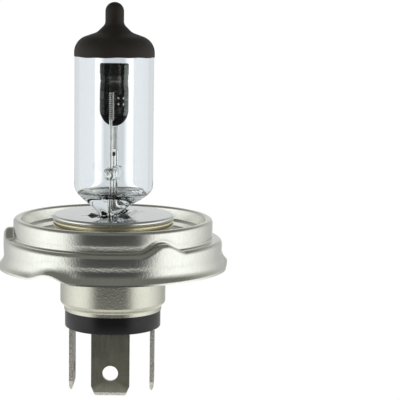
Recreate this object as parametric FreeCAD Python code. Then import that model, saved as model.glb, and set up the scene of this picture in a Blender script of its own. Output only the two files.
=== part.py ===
import FreeCAD, Part
import math
import os

# Twin-filament halogen headlight bulb on a stepped 45 mm locating flange. Millimetres.
# +Z runs along the lamp axis towards the glass tip. -Y is the side of the single blade, which
# is the upper side in a headlight. The burner (glass, leads, filaments, shield, cap plate) is
# built square to the axes and then turned by BURNER_YAW about the lamp axis. Heights in this
# file are measured from a plane 10.3 mm below the flange's folded top edge. The finished pieces
# are then lowered by ORIGIN_Z, so their origin is on the axis, at the middle of the drum's
# sized band.

Vector = FreeCAD.Vector
Z_AXIS = Vector(0, 0, 1)
ORIGIN = Vector(0, 0, 0)
BURNER_YAW = -10.0

# Locating flange, one pressed sheet
SHEET = 0.5
RIM_RADIUS = 23.6
RIM_Z = 0.6
RIM_BOTTOM_Z = 0.25
DRUM_RADIUS = 22.5
DRUM_SIZING = 0.04
DRUM_DRAFT = 0.03
DRAFT_TOP_Z = 3.6
BAND_BOTTOM_Z = 3.8
BAND_TOP_Z = 5.0
ORIGIN_Z = (BAND_BOTTOM_Z + BAND_TOP_Z) / 2
FLARE_TOP_Z = 1.9
FLARE_ROUND = 2.6
SHOULDER_ROUND = 1.1
SHOULDER_Z = 6.2
STEP_RADIUS = 20.5
FLANGE_TOP_Z = 10.3
FOLD_RADIUS = 18.9
LEDGE_OUTER_RADIUS = 18.5
LEDGE_INNER_RADIUS = 17.5
LEDGE_Z = 7.9
FLOOR_RADIUS = 17.2
FLOOR_Z = 6.7
COLLAR_RADIUS = 11.4
COLLAR_TOP_Z = 8.8
FEATURE_HALF_ANGLE = 12.5
FEATURE_FLAT_HALF_ANGLE = 2.5
FEATURE_SECTIONS = 9
SHOULDER_LIFT = 1.75
RIM_LIFT = 1.2
SHOULDER_BUMP_ANGLES = (30, 150, 270)
RIM_DENT_ANGLES = (90, 210, 330)
KEY_WIDTH = 3.4
KEY_FLOOR_RADIUS = 20.95

# Base shell, insulator
SHELL_RADIUS = 10.9
SHELL_SHEET = 0.4
SHELL_TOP_Z = 10.0
SHELL_BOTTOM_Z = -8.8
LIP_RADIUS = 10.1
LIP_TOP_Z = -8.0
LIP_SHOULDER_Z = -7.2
INSULATOR_RADIUS = 9.93
INSULATOR_BOTTOM_Z = -12.4
INSULATOR_FLOOR_Z = -9.8
INSULATOR_TOP_Z = -5.9
INSULATOR_CHAMFER = 0.2
RECESS_RADIUS = 9.3
SEAT_Z = -11.1

# Blades and rivets
BLADE_WIDTH = 7.8
BLADE_SHEET = 0.8
BLADE_END_Z = -25.2
BLADE_CHAMFER_WIDTH = 0.8
BLADE_CHAMFER_HEIGHT = 1.9
BLADE_EDGE_BEVEL = 0.25
BLADE_BEVEL_HEIGHT = 0.65
DETENT_RADIUS = 1.6
DETENT_ABOVE_END = 4.6
FOOT_SHOULDER = 1.6
FOOT_TAB_WIDTH = 4.9
FOOT_TAB_REACH = 2.3
FOOT_CORNER = 0.7
FRONT_BLADE_OFFSET = 8.3
FRONT_RIVET_OFFSET = 6.1
SIDE_BLADE_OFFSET = 8.3
BLADE_SLOT_CLEARANCE = 0.08
SIDE_RIVET_OFFSET = 5.3
SIDE_BLADE_Y = -1.05
RIVET_RADIUS = 1.05
RIVET_BORE = 0.65
RIVET_HEAD_RADIUS = 1.42
RIVET_HEAD = 0.35
SOLDER_RADIUS = 0.85
SOLDER_HEIGHT = 0.3

# Cap plate and pinch clamp
CAP_RADIUS = 12.5
CAP_WAIST_RADIUS = 11.7
CAP_WAIST_TOP_Z = 9.6
CAP_FOOT_RADIUS = 13.0
CAP_SHEET = 0.4
CAP_TOP_Z = 11.0
CAP_EDGE_ROUND = 0.8
SLOT_HALF_WIDTH = 2.0
SLOT_HALF_LENGTH = 6.35
TONGUE_HALF_WIDTH = 3.9
TONGUE_ROOT_X = 4.9
SLIT_START_X = 4.3
SLIT_END_X = 5.8
SLIT_WIDTH = 0.22
CLAMP_SHEET = 0.4
CLAMP_BOTTOM_Z = 3.6
CLAMP_TOP_Z = 9.1
CLAMP_GAP = 0.12
CLAMP_EAR_REACH = 9.4
CLAMP_EAR_HALF_WIDTH = 2.4

# Glass
TUBE_RADIUS = 8.1
BORE_RADIUS = 7.0
TIP_RADIUS = 1.8
GLASS_TOP_Z = 54.2
TIP_ROOT_Z = 49.8
CONE_FOOT_RADIUS = 3.5
CONE_FOOT_Z = 48.1
DOME_CORNER_Z = 46.5
DOME_ROUND = 3.4
TIP_ROOT_ROUND = 1.5
CONE_FOOT_ROUND = 2.6
BORE_TOP_Z = 47.5
BORE_CORNER_Z = 45.6
BORE_ROUND = 2.6
NECK_TOP_Z = 17.0
NECK_BOTTOM_Z = 11.6
BORE_BOTTOM_Z = 12.9
BORE_NECK_TOP_Z = 18.0
BORE_END_HALF_WIDTH = 0.8
BORE_END_HALF_LENGTH = 4.9
NECK_SECTIONS = 9
JOIN_STEP = 0.04
NECK_EASE = 1.3
PINCH_HALF_THICKNESS = 1.7
PINCH_HALF_WIDTH = 6.0
PINCH_BOTTOM_Z = 1.5
PINCH_ROUND = 0.8
PINCH_PANEL_DEPTH = 0.3
PINCH_PANEL_HALF_WIDTH = 4.3
COATING_THICKNESS = 0.1
COATING_EDGE_Z = 43.2

# Burner metalwork
LEAD_SPACING = 2.6
LEAD_RADIUS = 0.3
FOIL_HALF_WIDTH = 1.1
FOIL_THICKNESS = 0.06
FOIL_BOTTOM_Z = 3.4
FOIL_TOP_Z = 9.8
BRIDGE_BOTTOM_Z = 18.1
BRIDGE_TOP_Z = 21.0
BRIDGE_HALF_LENGTH = 4.9
BRIDGE_HALF_THICKNESS = 1.35
BRIDGE_ROUND = 1.2
COIL_RADIUS = 0.42
COIL_WIRE_RADIUS = 0.09
COIL_PITCH = 0.38
TAIL_RADIUS = 0.11
MAIN_COIL_BOTTOM_Z = 24.3
MAIN_COIL_TURNS = 12
MAIN_COIL_Y = 0.9
DIPPED_COIL_BOTTOM_Z = 30.7
DIPPED_COIL_TURNS = 13
DIPPED_COIL_Y = -1.0
MAIN_LEAD_TOP_Z = 23.2
DIPPED_LEAD_TOP_Z = 30.2
WELD_RADIUS = 0.42
SHIELD_HALF_WIDTH = 2.95
SHIELD_DEPTH = 3.1
SHIELD_RIM_Y = -0.1
SHIELD_TOP_Z = 42.0
SHIELD_BOWL_Z = 32.6
SHIELD_BOTTOM_Z = 29.2
SHIELD_SHEET = 0.22
STRAP_THICKNESS = 0.15
STRAP_BOTTOM_Z = 32.9
STRAP_TOP_Z = 35.5
STRAP_START = Vector(0.15, 2.78, 0)
STRAP_END = Vector(2.2, 1.68, 0)
SPOT_RADIUS = 0.3
SPOT_HEIGHT = 0.12
LEAD_BEND = 0.8


def half_plane_point(radius, height):
    """A point of a profile in the XZ half plane."""
    return Vector(radius, 0, height)


def turned(point, angle):
    """A point turned about the lamp axis by an angle in degrees."""
    return FreeCAD.Rotation(Z_AXIS, angle).multVec(point)


def burner_turned(shape):
    """A shape of the burner, brought to its place in the lamp."""
    return shape.rotated(ORIGIN, Z_AXIS, BURNER_YAW)


def rounded_edges(corners, radii):
    """Edges of an open path through the corners, each inner corner rounded by its radius."""
    edges = []
    start = corners[0]
    for index, radius in enumerate(radii, start=1):
        corner = corners[index]
        to_before = (corners[index - 1] - corner).normalize()
        to_after = (corners[index + 1] - corner).normalize()
        half_angle = to_before.getAngle(to_after) / 2
        reach = radius / math.tan(half_angle)
        bisector = (to_before + to_after).normalize()
        arc_start = corner + to_before * reach
        arc_end = corner + to_after * reach
        arc_middle = corner + bisector * (radius / math.sin(half_angle) - radius)
        edges.append(Part.makeLine(start, arc_start))
        edges.append(Part.Arc(arc_start, arc_middle, arc_end).toShape())
        start = arc_end
    edges.append(Part.makeLine(start, corners[-1]))
    return edges


def left_normal(start, end):
    """Unit normal on the left of a segment in the XZ plane, with X right and Z up."""
    along = (end - start).normalize()
    return Vector(-along.z, 0, along.x)


def offset_corners(corners, distance):
    """Corners of the path that runs beside an XZ path, at a distance on its left."""
    normals = [left_normal(a, b) for a, b in zip(corners, corners[1:])]
    moved = [corners[0] + normals[0] * distance]
    for corner, before, after in zip(corners[1:], normals, normals[1:]):
        moved.append(corner + (before + after) * (distance / (1 + before.dot(after))))
    moved.append(corners[-1] + normals[-1] * distance)
    return moved


def offset_radii(corners, radii, distance):
    """Corner radii of the offset path: smaller where it turns left, larger where right."""
    result = []
    for index, radius in enumerate(radii, start=1):
        before = left_normal(corners[index - 1], corners[index])
        along_after = corners[index + 1] - corners[index]
        turns_left = before.dot(along_after) > 0
        result.append(radius - distance if turns_left else radius + distance)
    return result


def sheet_wire(corners, radii, thickness):
    """Closed section of a sheet whose skin follows the path and whose metal is on its left."""
    inner = offset_corners(corners, thickness)
    inner_radii = offset_radii(corners, radii, thickness)
    edges = rounded_edges(corners, radii)
    edges.append(Part.makeLine(corners[-1], inner[-1]))
    edges.extend(rounded_edges(inner[::-1], inner_radii[::-1]))
    edges.append(Part.makeLine(inner[0], corners[0]))
    return Part.Wire(edges)


def revolved(wire, angle=360):
    """Solid swept by a closed XZ profile about the lamp axis."""
    return Part.Face(wire).revolve(ORIGIN, Z_AXIS, angle)


def revolved_outline(points):
    """Solid of revolution from the straight-sided outline through (radius, z) pairs."""
    corners = [half_plane_point(radius, height) for radius, height in points]
    return revolved(Part.makePolygon(corners + corners[:1]))


def round_wire(corners, bend_radii, radius):
    """Solid of a round wire that follows a path with rounded bends."""
    path = Part.Wire(rounded_edges(corners, bend_radii))
    direction = (corners[1] - corners[0]).normalize()
    section = Part.Wire(Part.makeCircle(radius, corners[0], direction))
    return path.makePipeShell([section], True, True)


def box_between(low, high):
    """Box from its lowest to its highest corner."""
    size = high - low
    return Part.makeBox(size.x, size.y, size.z, low)


def smooth_step(fraction):
    """Ease from 0 to 1 with no slope at either end."""
    return fraction * fraction * (3 - 2 * fraction)


# ---------------------------------------------------------------- locating flange


def flange_wire(shoulder_lift, rim_lift):
    """Section of the sheet: rim, drum, shoulder, step, top fold, ledge, floor and collar."""
    wall_radius = DRUM_RADIUS - DRUM_SIZING
    corners = [
        half_plane_point(RIM_RADIUS, RIM_BOTTOM_Z + rim_lift),
        half_plane_point(RIM_RADIUS, RIM_Z + rim_lift),
        half_plane_point(wall_radius + DRUM_DRAFT, FLARE_TOP_Z + rim_lift),
        half_plane_point(wall_radius, DRAFT_TOP_Z + rim_lift / 2),
        half_plane_point(wall_radius, SHOULDER_Z + shoulder_lift),
        half_plane_point(STEP_RADIUS, SHOULDER_Z + shoulder_lift),
        half_plane_point(STEP_RADIUS, FLANGE_TOP_Z),
        half_plane_point(FOLD_RADIUS, FLANGE_TOP_Z),
        half_plane_point(LEDGE_OUTER_RADIUS, LEDGE_Z),
        half_plane_point(LEDGE_INNER_RADIUS, LEDGE_Z - 0.15),
        half_plane_point(FLOOR_RADIUS, FLOOR_Z),
        half_plane_point(COLLAR_RADIUS, FLOOR_Z),
        half_plane_point(COLLAR_RADIUS, COLLAR_TOP_Z),
    ]
    radii = [0.6, FLARE_ROUND, 2.0, SHOULDER_ROUND, 0.4, 0.8, 0.62, 0.4, 0.56, 0.3, 0.4]
    return sheet_wire(corners, radii, SHEET)


def azimuth_angle(azimuth):
    """Angle from +X of an azimuth counted from the front (-Y) towards +X."""
    return azimuth - 90


def lifted_sector(azimuth, shoulder_lift, rim_lift):
    """Part of the flange where the shoulder or the rim is pressed upwards."""
    sections = []
    for index in range(FEATURE_SECTIONS):
        angle = FEATURE_HALF_ANGLE * (2 * index / (FEATURE_SECTIONS - 1) - 1)
        slope = FEATURE_HALF_ANGLE - FEATURE_FLAT_HALF_ANGLE
        fraction = min(1, (FEATURE_HALF_ANGLE - abs(angle)) / slope)
        share = smooth_step(fraction)
        wire = flange_wire(shoulder_lift * share, rim_lift * share)
        sections.append(wire.rotated(ORIGIN, Z_AXIS, azimuth_angle(azimuth) + angle))
    return Part.makeLoft(sections, True)


def plain_sector(start_azimuth, end_azimuth):
    """Part of the flange between two pressed features."""
    sector = revolved(flange_wire(0, 0), end_azimuth - start_azimuth)
    return sector.rotated(ORIGIN, Z_AXIS, azimuth_angle(start_azimuth))


def sized_band():
    """Ring of the drum wall that is sized to its exact diameter, clear of the pressed features."""
    inner_radius = DRUM_RADIUS - SHEET - 2 * DRUM_SIZING
    return revolved_outline([
        (inner_radius, BAND_BOTTOM_Z),
        (DRUM_RADIUS, BAND_BOTTOM_Z),
        (DRUM_RADIUS, BAND_TOP_Z),
        (inner_radius, BAND_TOP_Z),
    ])


def key_slot(flange):
    """The flange with its narrow key groove pressed inwards at the back."""
    liner_floor = KEY_FLOOR_RADIUS - SHEET
    wall_radius = DRUM_RADIUS - DRUM_SIZING
    half_outer = KEY_WIDTH / 2 + SHEET
    inner_box = box_between(
        Vector(-KEY_WIDTH / 2, KEY_FLOOR_RADIUS, RIM_BOTTOM_Z - 1),
        Vector(KEY_WIDTH / 2, RIM_RADIUS + 1, SHOULDER_Z + 0.4),
    )
    outer_box = box_between(
        Vector(-half_outer, liner_floor, RIM_BOTTOM_Z - 1),
        Vector(half_outer, RIM_RADIUS + 1, SHOULDER_Z - 0.1),
    )
    corners = [
        half_plane_point(liner_floor - 1, RIM_BOTTOM_Z),
        half_plane_point(RIM_RADIUS, RIM_BOTTOM_Z),
        half_plane_point(RIM_RADIUS, RIM_Z),
        half_plane_point(wall_radius, FLARE_TOP_Z),
        half_plane_point(wall_radius, SHOULDER_Z),
        half_plane_point(liner_floor - 1, SHOULDER_Z),
    ]
    path = rounded_edges(corners, [0.05, 0.6, FLARE_ROUND, SHOULDER_ROUND])
    path.append(Part.makeLine(corners[-1], corners[0]))
    liner = revolved(Part.Wire(path)).common(outer_box)
    return flange.fuse(liner).cut(inner_box)


def locating_flange():
    sectors = []
    features = [(azimuth, SHOULDER_LIFT, 0) for azimuth in SHOULDER_BUMP_ANGLES]
    features += [(azimuth, 0, RIM_LIFT) for azimuth in RIM_DENT_ANGLES]
    features.sort()
    following = features[1:] + [(features[0][0] + 360, 0, 0)]
    for feature, after in zip(features, following):
        sectors.append(lifted_sector(*feature))
        start = feature[0] + FEATURE_HALF_ANGLE
        sectors.append(plain_sector(start, after[0] - FEATURE_HALF_ANGLE))
    pressed = sectors[0].fuse(sectors[1:]).removeSplitter()
    return key_slot(pressed.fuse(sized_band())).removeSplitter()


# ---------------------------------------------------------------- base


def base_shell():
    corners = [
        half_plane_point(LIP_RADIUS, SHELL_BOTTOM_Z),
        half_plane_point(LIP_RADIUS, LIP_TOP_Z),
        half_plane_point(SHELL_RADIUS, LIP_SHOULDER_Z),
        half_plane_point(SHELL_RADIUS, SHELL_TOP_Z),
    ]
    return revolved(sheet_wire(corners, [0.3, 0.9], SHELL_SHEET))


def blade_slots():
    """Slots through the insulator's rim that the three blades pass through."""
    reach = BLADE_SHEET / 2 + BLADE_SLOT_CLEARANCE
    half_width = BLADE_WIDTH / 2 + BLADE_SLOT_CLEARANCE
    front = box_between(
        Vector(-half_width, -FRONT_BLADE_OFFSET - reach, INSULATOR_BOTTOM_Z - 1),
        Vector(half_width, -FRONT_BLADE_OFFSET + reach, SEAT_Z),
    )
    slots = [front]
    for side in (-1, 1):
        x_ends = sorted((side * (SIDE_BLADE_OFFSET - reach), side * (SIDE_BLADE_OFFSET + reach)))
        slots.append(box_between(
            Vector(x_ends[0], SIDE_BLADE_Y - half_width, INSULATOR_BOTTOM_Z - 1),
            Vector(x_ends[1], SIDE_BLADE_Y + half_width, SEAT_Z),
        ))
    return slots


def insulator():
    """Moulded disc that closes the shell, with a recess below for the blades' feet."""
    groove_radius = LIP_RADIUS - SHELL_SHEET - 0.05
    inside_radius = SHELL_RADIUS - SHELL_SHEET - 0.1
    body = revolved_outline([
        (0, SEAT_Z),
        (RECESS_RADIUS, SEAT_Z),
        (RECESS_RADIUS, INSULATOR_BOTTOM_Z),
        (INSULATOR_RADIUS - INSULATOR_CHAMFER, INSULATOR_BOTTOM_Z),
        (INSULATOR_RADIUS, INSULATOR_BOTTOM_Z + INSULATOR_CHAMFER),
        (INSULATOR_RADIUS, SHELL_BOTTOM_Z - 0.02),
        (groove_radius, SHELL_BOTTOM_Z - 0.02),
        (groove_radius, LIP_TOP_Z),
        (inside_radius, LIP_SHOULDER_Z + 0.4),
        (inside_radius, INSULATOR_TOP_Z),
        (inside_radius - 1.3, INSULATOR_TOP_Z),
        (inside_radius - 1.3, INSULATOR_FLOOR_Z),
        (0, INSULATOR_FLOOR_Z),
    ])
    holes = [
        Part.makeCylinder(RIVET_RADIUS, 10, Vector(x, y, INSULATOR_BOTTOM_Z - 1))
        for x, y in rivet_places()
    ]
    return body.cut(holes + blade_slots())


def rivet_places():
    """Rivet axes: single blade, main-beam blade, earth blade."""
    return [
        (0, -FRONT_RIVET_OFFSET),
        (SIDE_RIVET_OFFSET, SIDE_BLADE_Y),
        (-SIDE_RIVET_OFFSET, SIDE_BLADE_Y),
    ]


def blade_side_profile(blade_offset, foot_end):
    """Bent strip seen along X: upright blade at -Y, foot running towards the axis."""
    outer = -blade_offset - BLADE_SHEET / 2
    corners = [
        half_plane_point(outer, BLADE_END_Z),
        half_plane_point(outer, SEAT_Z),
        half_plane_point(foot_end, SEAT_Z),
    ]
    wire = sheet_wire(corners, [BLADE_SHEET + 0.35], -BLADE_SHEET)
    wire.rotate(ORIGIN, Z_AXIS, 90)
    wire.translate(Vector(-BLADE_WIDTH, 0, 0))
    return Part.Face(wire).extrude(Vector(2 * BLADE_WIDTH, 0, 0))


def blade_outline(blade_offset):
    """Front outline of the upright blade, as a thick slab."""
    half = BLADE_WIDTH / 2
    end_half = half - BLADE_CHAMFER_WIDTH
    chamfer_z = BLADE_END_Z + BLADE_CHAMFER_HEIGHT
    y = -blade_offset - BLADE_SHEET
    outline = [
        Vector(-end_half, y, BLADE_END_Z),
        Vector(end_half, y, BLADE_END_Z),
        Vector(half, y, chamfer_z),
        Vector(half, y, SEAT_Z + 1),
        Vector(-half, y, SEAT_Z + 1),
        Vector(-half, y, chamfer_z),
    ]
    face = Part.Face(Part.makePolygon(outline + outline[:1]))
    slab = face.extrude(Vector(0, BLADE_SHEET + FOOT_SHOULDER, 0))
    hole_centre = Vector(0, y - 1, BLADE_END_Z + DETENT_ABOVE_END)
    hole = Part.makeCylinder(DETENT_RADIUS, 4, hole_centre, Vector(0, 1, 0))
    return slab.cut(hole)


def foot_outline(blade_offset, foot_end):
    """Plan outline of the foot's tab: narrower than the blade, with rounded corners."""
    low = Vector(-FOOT_TAB_WIDTH / 2, -blade_offset, SEAT_Z - 2)
    high = Vector(FOOT_TAB_WIDTH / 2, foot_end, SEAT_Z + 1)
    tab = box_between(low, high)
    far_edges = [edge for edge in tab.Edges if is_upright_edge_at(edge, foot_end)]
    return tab.makeFillet(FOOT_CORNER, far_edges)


def is_upright_edge_at(edge, y):
    """Whether an edge is parallel to Z and lies at the given y."""
    box = edge.BoundBox
    return abs(box.YMin - y) < 0.01 and abs(box.YMax - y) < 0.01 and box.ZLength > 1


def end_bevels(blade_offset):
    """Two wedges that thin the blade's end on both faces."""
    wedges = []
    for side in (-1, 1):
        face_y = -blade_offset + side * BLADE_SHEET / 2
        outline = [
            Vector(-BLADE_WIDTH, face_y + side, BLADE_END_Z - 1),
            Vector(-BLADE_WIDTH, face_y - side * BLADE_EDGE_BEVEL, BLADE_END_Z - 1),
            Vector(-BLADE_WIDTH, face_y - side * BLADE_EDGE_BEVEL, BLADE_END_Z),
            Vector(-BLADE_WIDTH, face_y, BLADE_END_Z + BLADE_BEVEL_HEIGHT),
            Vector(-BLADE_WIDTH, face_y + side, BLADE_END_Z + BLADE_BEVEL_HEIGHT),
        ]
        face = Part.Face(Part.makePolygon(outline + outline[:1]))
        wedges.append(face.extrude(Vector(2 * BLADE_WIDTH, 0, 0)))
    return wedges


def terminal(blade_offset, rivet_offset):
    """A blade with its foot, facing -Y, with the lamp axis at x = y = 0."""
    foot_end = -rivet_offset + FOOT_TAB_REACH
    strip = blade_side_profile(blade_offset, foot_end)
    outline = blade_outline(blade_offset).fuse(foot_outline(blade_offset, foot_end))
    blade = strip.common(outline)
    rivet_start = Vector(0, -rivet_offset, SEAT_Z - 2)
    rivet_hole = Part.makeCylinder(RIVET_RADIUS, 4, rivet_start)
    return blade.cut([rivet_hole] + end_bevels(blade_offset)).removeSplitter()


def side_terminal(side):
    """Terminal on +X (side 1) or -X (side -1)."""
    blade = terminal(SIDE_BLADE_OFFSET, SIDE_RIVET_OFFSET)
    blade.rotate(ORIGIN, Z_AXIS, 90 * side)
    blade.translate(Vector(0, SIDE_BLADE_Y, 0))
    return blade


def terminal_rivets():
    head_bottom = SEAT_Z - BLADE_SHEET - RIVET_HEAD
    head_top = INSULATOR_FLOOR_Z + RIVET_HEAD
    rivet = revolved_outline([
        (RIVET_BORE, head_bottom + 0.1),
        (RIVET_BORE + 0.15, head_bottom),
        (RIVET_HEAD_RADIUS - 0.15, head_bottom),
        (RIVET_HEAD_RADIUS, head_bottom + 0.15),
        (RIVET_HEAD_RADIUS, SEAT_Z - BLADE_SHEET),
        (RIVET_RADIUS, SEAT_Z - BLADE_SHEET),
        (RIVET_RADIUS, INSULATOR_FLOOR_Z),
        (RIVET_HEAD_RADIUS, INSULATOR_FLOOR_Z),
        (RIVET_HEAD_RADIUS, head_top),
        (RIVET_BORE, head_top),
    ])
    return Part.makeCompound([rivet.translated(Vector(x, y, 0)) for x, y in rivet_places()])


def solder_bottom_z():
    """Lower face of the rivet head, where the solder dome starts."""
    return SEAT_Z - BLADE_SHEET - RIVET_HEAD


def solder_joints():
    """Solder plugs with low domes that close the rivets below the lead ends."""
    joints = []
    start = solder_bottom_z()
    sphere_radius = (SOLDER_RADIUS ** 2 + SOLDER_HEIGHT ** 2) / (2 * SOLDER_HEIGHT)
    for x, y in rivet_places():
        centre = Vector(x, y, start - SOLDER_HEIGHT + sphere_radius)
        below = Part.makeCylinder(SOLDER_RADIUS, 1, Vector(x, y, start - 1))
        dome = Part.makeSphere(sphere_radius, centre).common(below)
        plug = Part.makeCylinder(RIVET_BORE - 0.02, 0.4, Vector(x, y, start - 0.02))
        joints.append(dome.fuse(plug).removeSplitter())
    return Part.makeCompound(joints)


# ---------------------------------------------------------------- cap plate, pinch clamp


def tongue(side):
    """Slit tongue that rises in a hump and presses down onto one face of the pinch."""
    corners = [
        half_plane_point(TONGUE_ROOT_X + 0.2, CAP_TOP_Z),
        half_plane_point(TONGUE_ROOT_X - 0.4, CAP_TOP_Z),
        half_plane_point(3.7, CAP_TOP_Z + 0.75),
        half_plane_point(2.35, CAP_TOP_Z + 0.25),
        half_plane_point(PINCH_HALF_THICKNESS + 0.03, CAP_TOP_Z - 1.3),
    ]
    wire = sheet_wire(corners, [0.45, 0.5, 0.6], CAP_SHEET)
    wire.translate(Vector(0, -TONGUE_HALF_WIDTH, 0))
    solid = Part.Face(wire).extrude(Vector(0, 2 * TONGUE_HALF_WIDTH, 0))
    return solid if side > 0 else solid.rotated(ORIGIN, Z_AXIS, 180)


def cap_plate():
    corners = [
        half_plane_point(CAP_FOOT_RADIUS, FLOOR_Z + CAP_SHEET),
        half_plane_point(CAP_WAIST_RADIUS, FLOOR_Z + CAP_SHEET),
        half_plane_point(CAP_RADIUS, CAP_WAIST_TOP_Z),
        half_plane_point(CAP_RADIUS, CAP_TOP_Z),
        half_plane_point(0, CAP_TOP_Z),
    ]
    plate = revolved(sheet_wire(corners, [0.5, 1.5, CAP_EDGE_ROUND], CAP_SHEET))
    below = CAP_TOP_Z - 2
    above = CAP_TOP_Z + 2
    cuts = [
        box_between(
            Vector(-SLOT_HALF_WIDTH, -SLOT_HALF_LENGTH, below),
            Vector(SLOT_HALF_WIDTH, SLOT_HALF_LENGTH, above),
        ),
        box_between(
            Vector(-TONGUE_ROOT_X, -TONGUE_HALF_WIDTH - SLIT_WIDTH, below),
            Vector(TONGUE_ROOT_X, TONGUE_HALF_WIDTH + SLIT_WIDTH, above),
        ),
    ]
    for x_side in (-1, 1):
        for y_side in (-1, 1):
            y_middle = y_side * (TONGUE_HALF_WIDTH + SLIT_WIDTH / 2)
            x_ends = sorted((x_side * SLIT_START_X, x_side * SLIT_END_X))
            cuts.append(box_between(
                Vector(x_ends[0], y_middle - SLIT_WIDTH / 2, below),
                Vector(x_ends[1], y_middle + SLIT_WIDTH / 2, above),
            ))
    return plate.cut(cuts).fuse([tongue(-1), tongue(1)]).removeSplitter()


def pinch_clamp():
    """Rectangular sleeve round the pinch, hung by two ears under the cap plate."""
    inner_x = PINCH_HALF_THICKNESS + CLAMP_GAP
    inner_y = PINCH_HALF_WIDTH + CLAMP_GAP
    outer_x = inner_x + CLAMP_SHEET
    outer_y = inner_y + CLAMP_SHEET
    plate_underside = CAP_TOP_Z - CAP_SHEET
    sleeve = box_between(
        Vector(-outer_x, -outer_y, CLAMP_BOTTOM_Z),
        Vector(outer_x, outer_y, CLAMP_TOP_Z),
    )
    pieces = []
    for side in (-1, 1):
        riser_ends = sorted((side * inner_y, side * outer_y))
        ear_ends = sorted((side * inner_y, side * CLAMP_EAR_REACH))
        pieces.append(box_between(
            Vector(-outer_x, riser_ends[0], CLAMP_TOP_Z),
            Vector(outer_x, riser_ends[1], plate_underside - CLAMP_SHEET),
        ))
        pieces.append(box_between(
            Vector(-CLAMP_EAR_HALF_WIDTH, ear_ends[0], plate_underside - CLAMP_SHEET),
            Vector(CLAMP_EAR_HALF_WIDTH, ear_ends[1], plate_underside),
        ))
    hollow = box_between(
        Vector(-inner_x, -inner_y, CLAMP_BOTTOM_Z - 1),
        Vector(inner_x, inner_y, CLAMP_TOP_Z + 2),
    )
    return sleeve.fuse(pieces).cut(hollow).removeSplitter()


# ---------------------------------------------------------------- glass


def signed_power(value, exponent):
    return math.copysign(abs(value) ** exponent, value)


def superellipse_wire(half_x, half_y, exponent, height):
    """Closed smooth curve: an ellipse for exponent 2, nearly a rectangle for 6."""
    points = []
    count = 48
    for index in range(count):
        angle = 2 * math.pi * (index + 0.5) / count
        x = half_x * signed_power(math.cos(angle), 2 / exponent)
        y = half_y * signed_power(math.sin(angle), 2 / exponent)
        points.append(Vector(x, y, height))
    curve = Part.BSplineCurve()
    curve.interpolate(Points=points, PeriodicFlag=True)
    return Part.Wire(curve.toShape())


def neck_loft(start_radius, end_half_x, end_half_y, top_z, bottom_z, end_exponent):
    """Solid that runs from a circle at the top to a flat section at the bottom."""
    wires = []
    for index in range(NECK_SECTIONS):
        fraction = index / (NECK_SECTIONS - 1)
        share = smooth_step(fraction ** NECK_EASE)
        half_x = start_radius + (end_half_x - start_radius) * share
        half_y = start_radius + (end_half_y - start_radius) * share
        exponent = 2 + (end_exponent - 2) * fraction ** 3
        height = top_z + (bottom_z - top_z) * fraction
        wires.append(superellipse_wire(half_x, half_y, exponent, height))
    return Part.makeLoft(wires, True)


def dome_corners():
    """Outer path of the glass from the top of the tip down to the coating's edge."""
    return [
        half_plane_point(0, GLASS_TOP_Z),
        half_plane_point(TIP_RADIUS, GLASS_TOP_Z),
        half_plane_point(TIP_RADIUS, TIP_ROOT_Z),
        half_plane_point(CONE_FOOT_RADIUS, CONE_FOOT_Z),
        half_plane_point(TUBE_RADIUS, DOME_CORNER_Z),
        half_plane_point(TUBE_RADIUS, COATING_EDGE_Z),
    ]


def dome_radii():
    return [TIP_RADIUS - 0.01, TIP_ROOT_ROUND, CONE_FOOT_ROUND, DOME_ROUND]


def envelope_outside():
    """Solid outer form of the glass."""
    path = dome_corners()[:-1] + [half_plane_point(TUBE_RADIUS, NECK_TOP_Z)]
    edges = rounded_edges(path, dome_radii())
    foot = half_plane_point(0, NECK_TOP_Z)
    edges.append(Part.makeLine(path[-1], foot))
    edges.append(Part.makeLine(foot, path[0]))
    neck = neck_loft(
        TUBE_RADIUS - JOIN_STEP, PINCH_HALF_THICKNESS + JOIN_STEP,
        PINCH_HALF_WIDTH + JOIN_STEP, NECK_TOP_Z, NECK_BOTTOM_Z, 6,
    )
    return revolved(Part.Wire(edges)).fuse(neck).fuse(pinch_slab())


def pinch_slab():
    """Flat pressed seal with a shallow panel in each face."""
    slab = box_between(
        Vector(-PINCH_HALF_THICKNESS, -PINCH_HALF_WIDTH, PINCH_BOTTOM_Z),
        Vector(PINCH_HALF_THICKNESS, PINCH_HALF_WIDTH, NECK_BOTTOM_Z),
    )
    upright = [edge for edge in slab.Edges if edge.BoundBox.ZLength > 1]
    slab = slab.makeFillet(PINCH_ROUND, upright)
    panels = []
    for side in (-1, 1):
        x_ends = sorted((
            side * (PINCH_HALF_THICKNESS - PINCH_PANEL_DEPTH),
            side * (PINCH_HALF_THICKNESS + 1),
        ))
        panels.append(box_between(
            Vector(x_ends[0], -PINCH_PANEL_HALF_WIDTH, PINCH_BOTTOM_Z + 0.8),
            Vector(x_ends[1], PINCH_PANEL_HALF_WIDTH, CLAMP_TOP_Z - 0.5),
        ))
    return slab.cut(panels)


def envelope_bore():
    """Gas space inside the glass."""
    path = [
        half_plane_point(0, BORE_TOP_Z),
        half_plane_point(BORE_RADIUS, BORE_CORNER_Z),
        half_plane_point(BORE_RADIUS, BORE_NECK_TOP_Z),
    ]
    edges = rounded_edges(path, [BORE_ROUND])
    foot = half_plane_point(0, BORE_NECK_TOP_Z)
    edges.append(Part.makeLine(path[-1], foot))
    edges.append(Part.makeLine(foot, path[0]))
    funnel = neck_loft(
        BORE_RADIUS - JOIN_STEP, BORE_END_HALF_WIDTH, BORE_END_HALF_LENGTH,
        BORE_NECK_TOP_Z, BORE_BOTTOM_Z, 3,
    )
    return revolved(Part.Wire(edges)).fuse(funnel)


def quartz_envelope(embedded):
    """Hollow glass with closed pockets for the embedded foils and wires."""
    return envelope_outside().cut([envelope_bore()] + embedded).removeSplitter()


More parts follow.
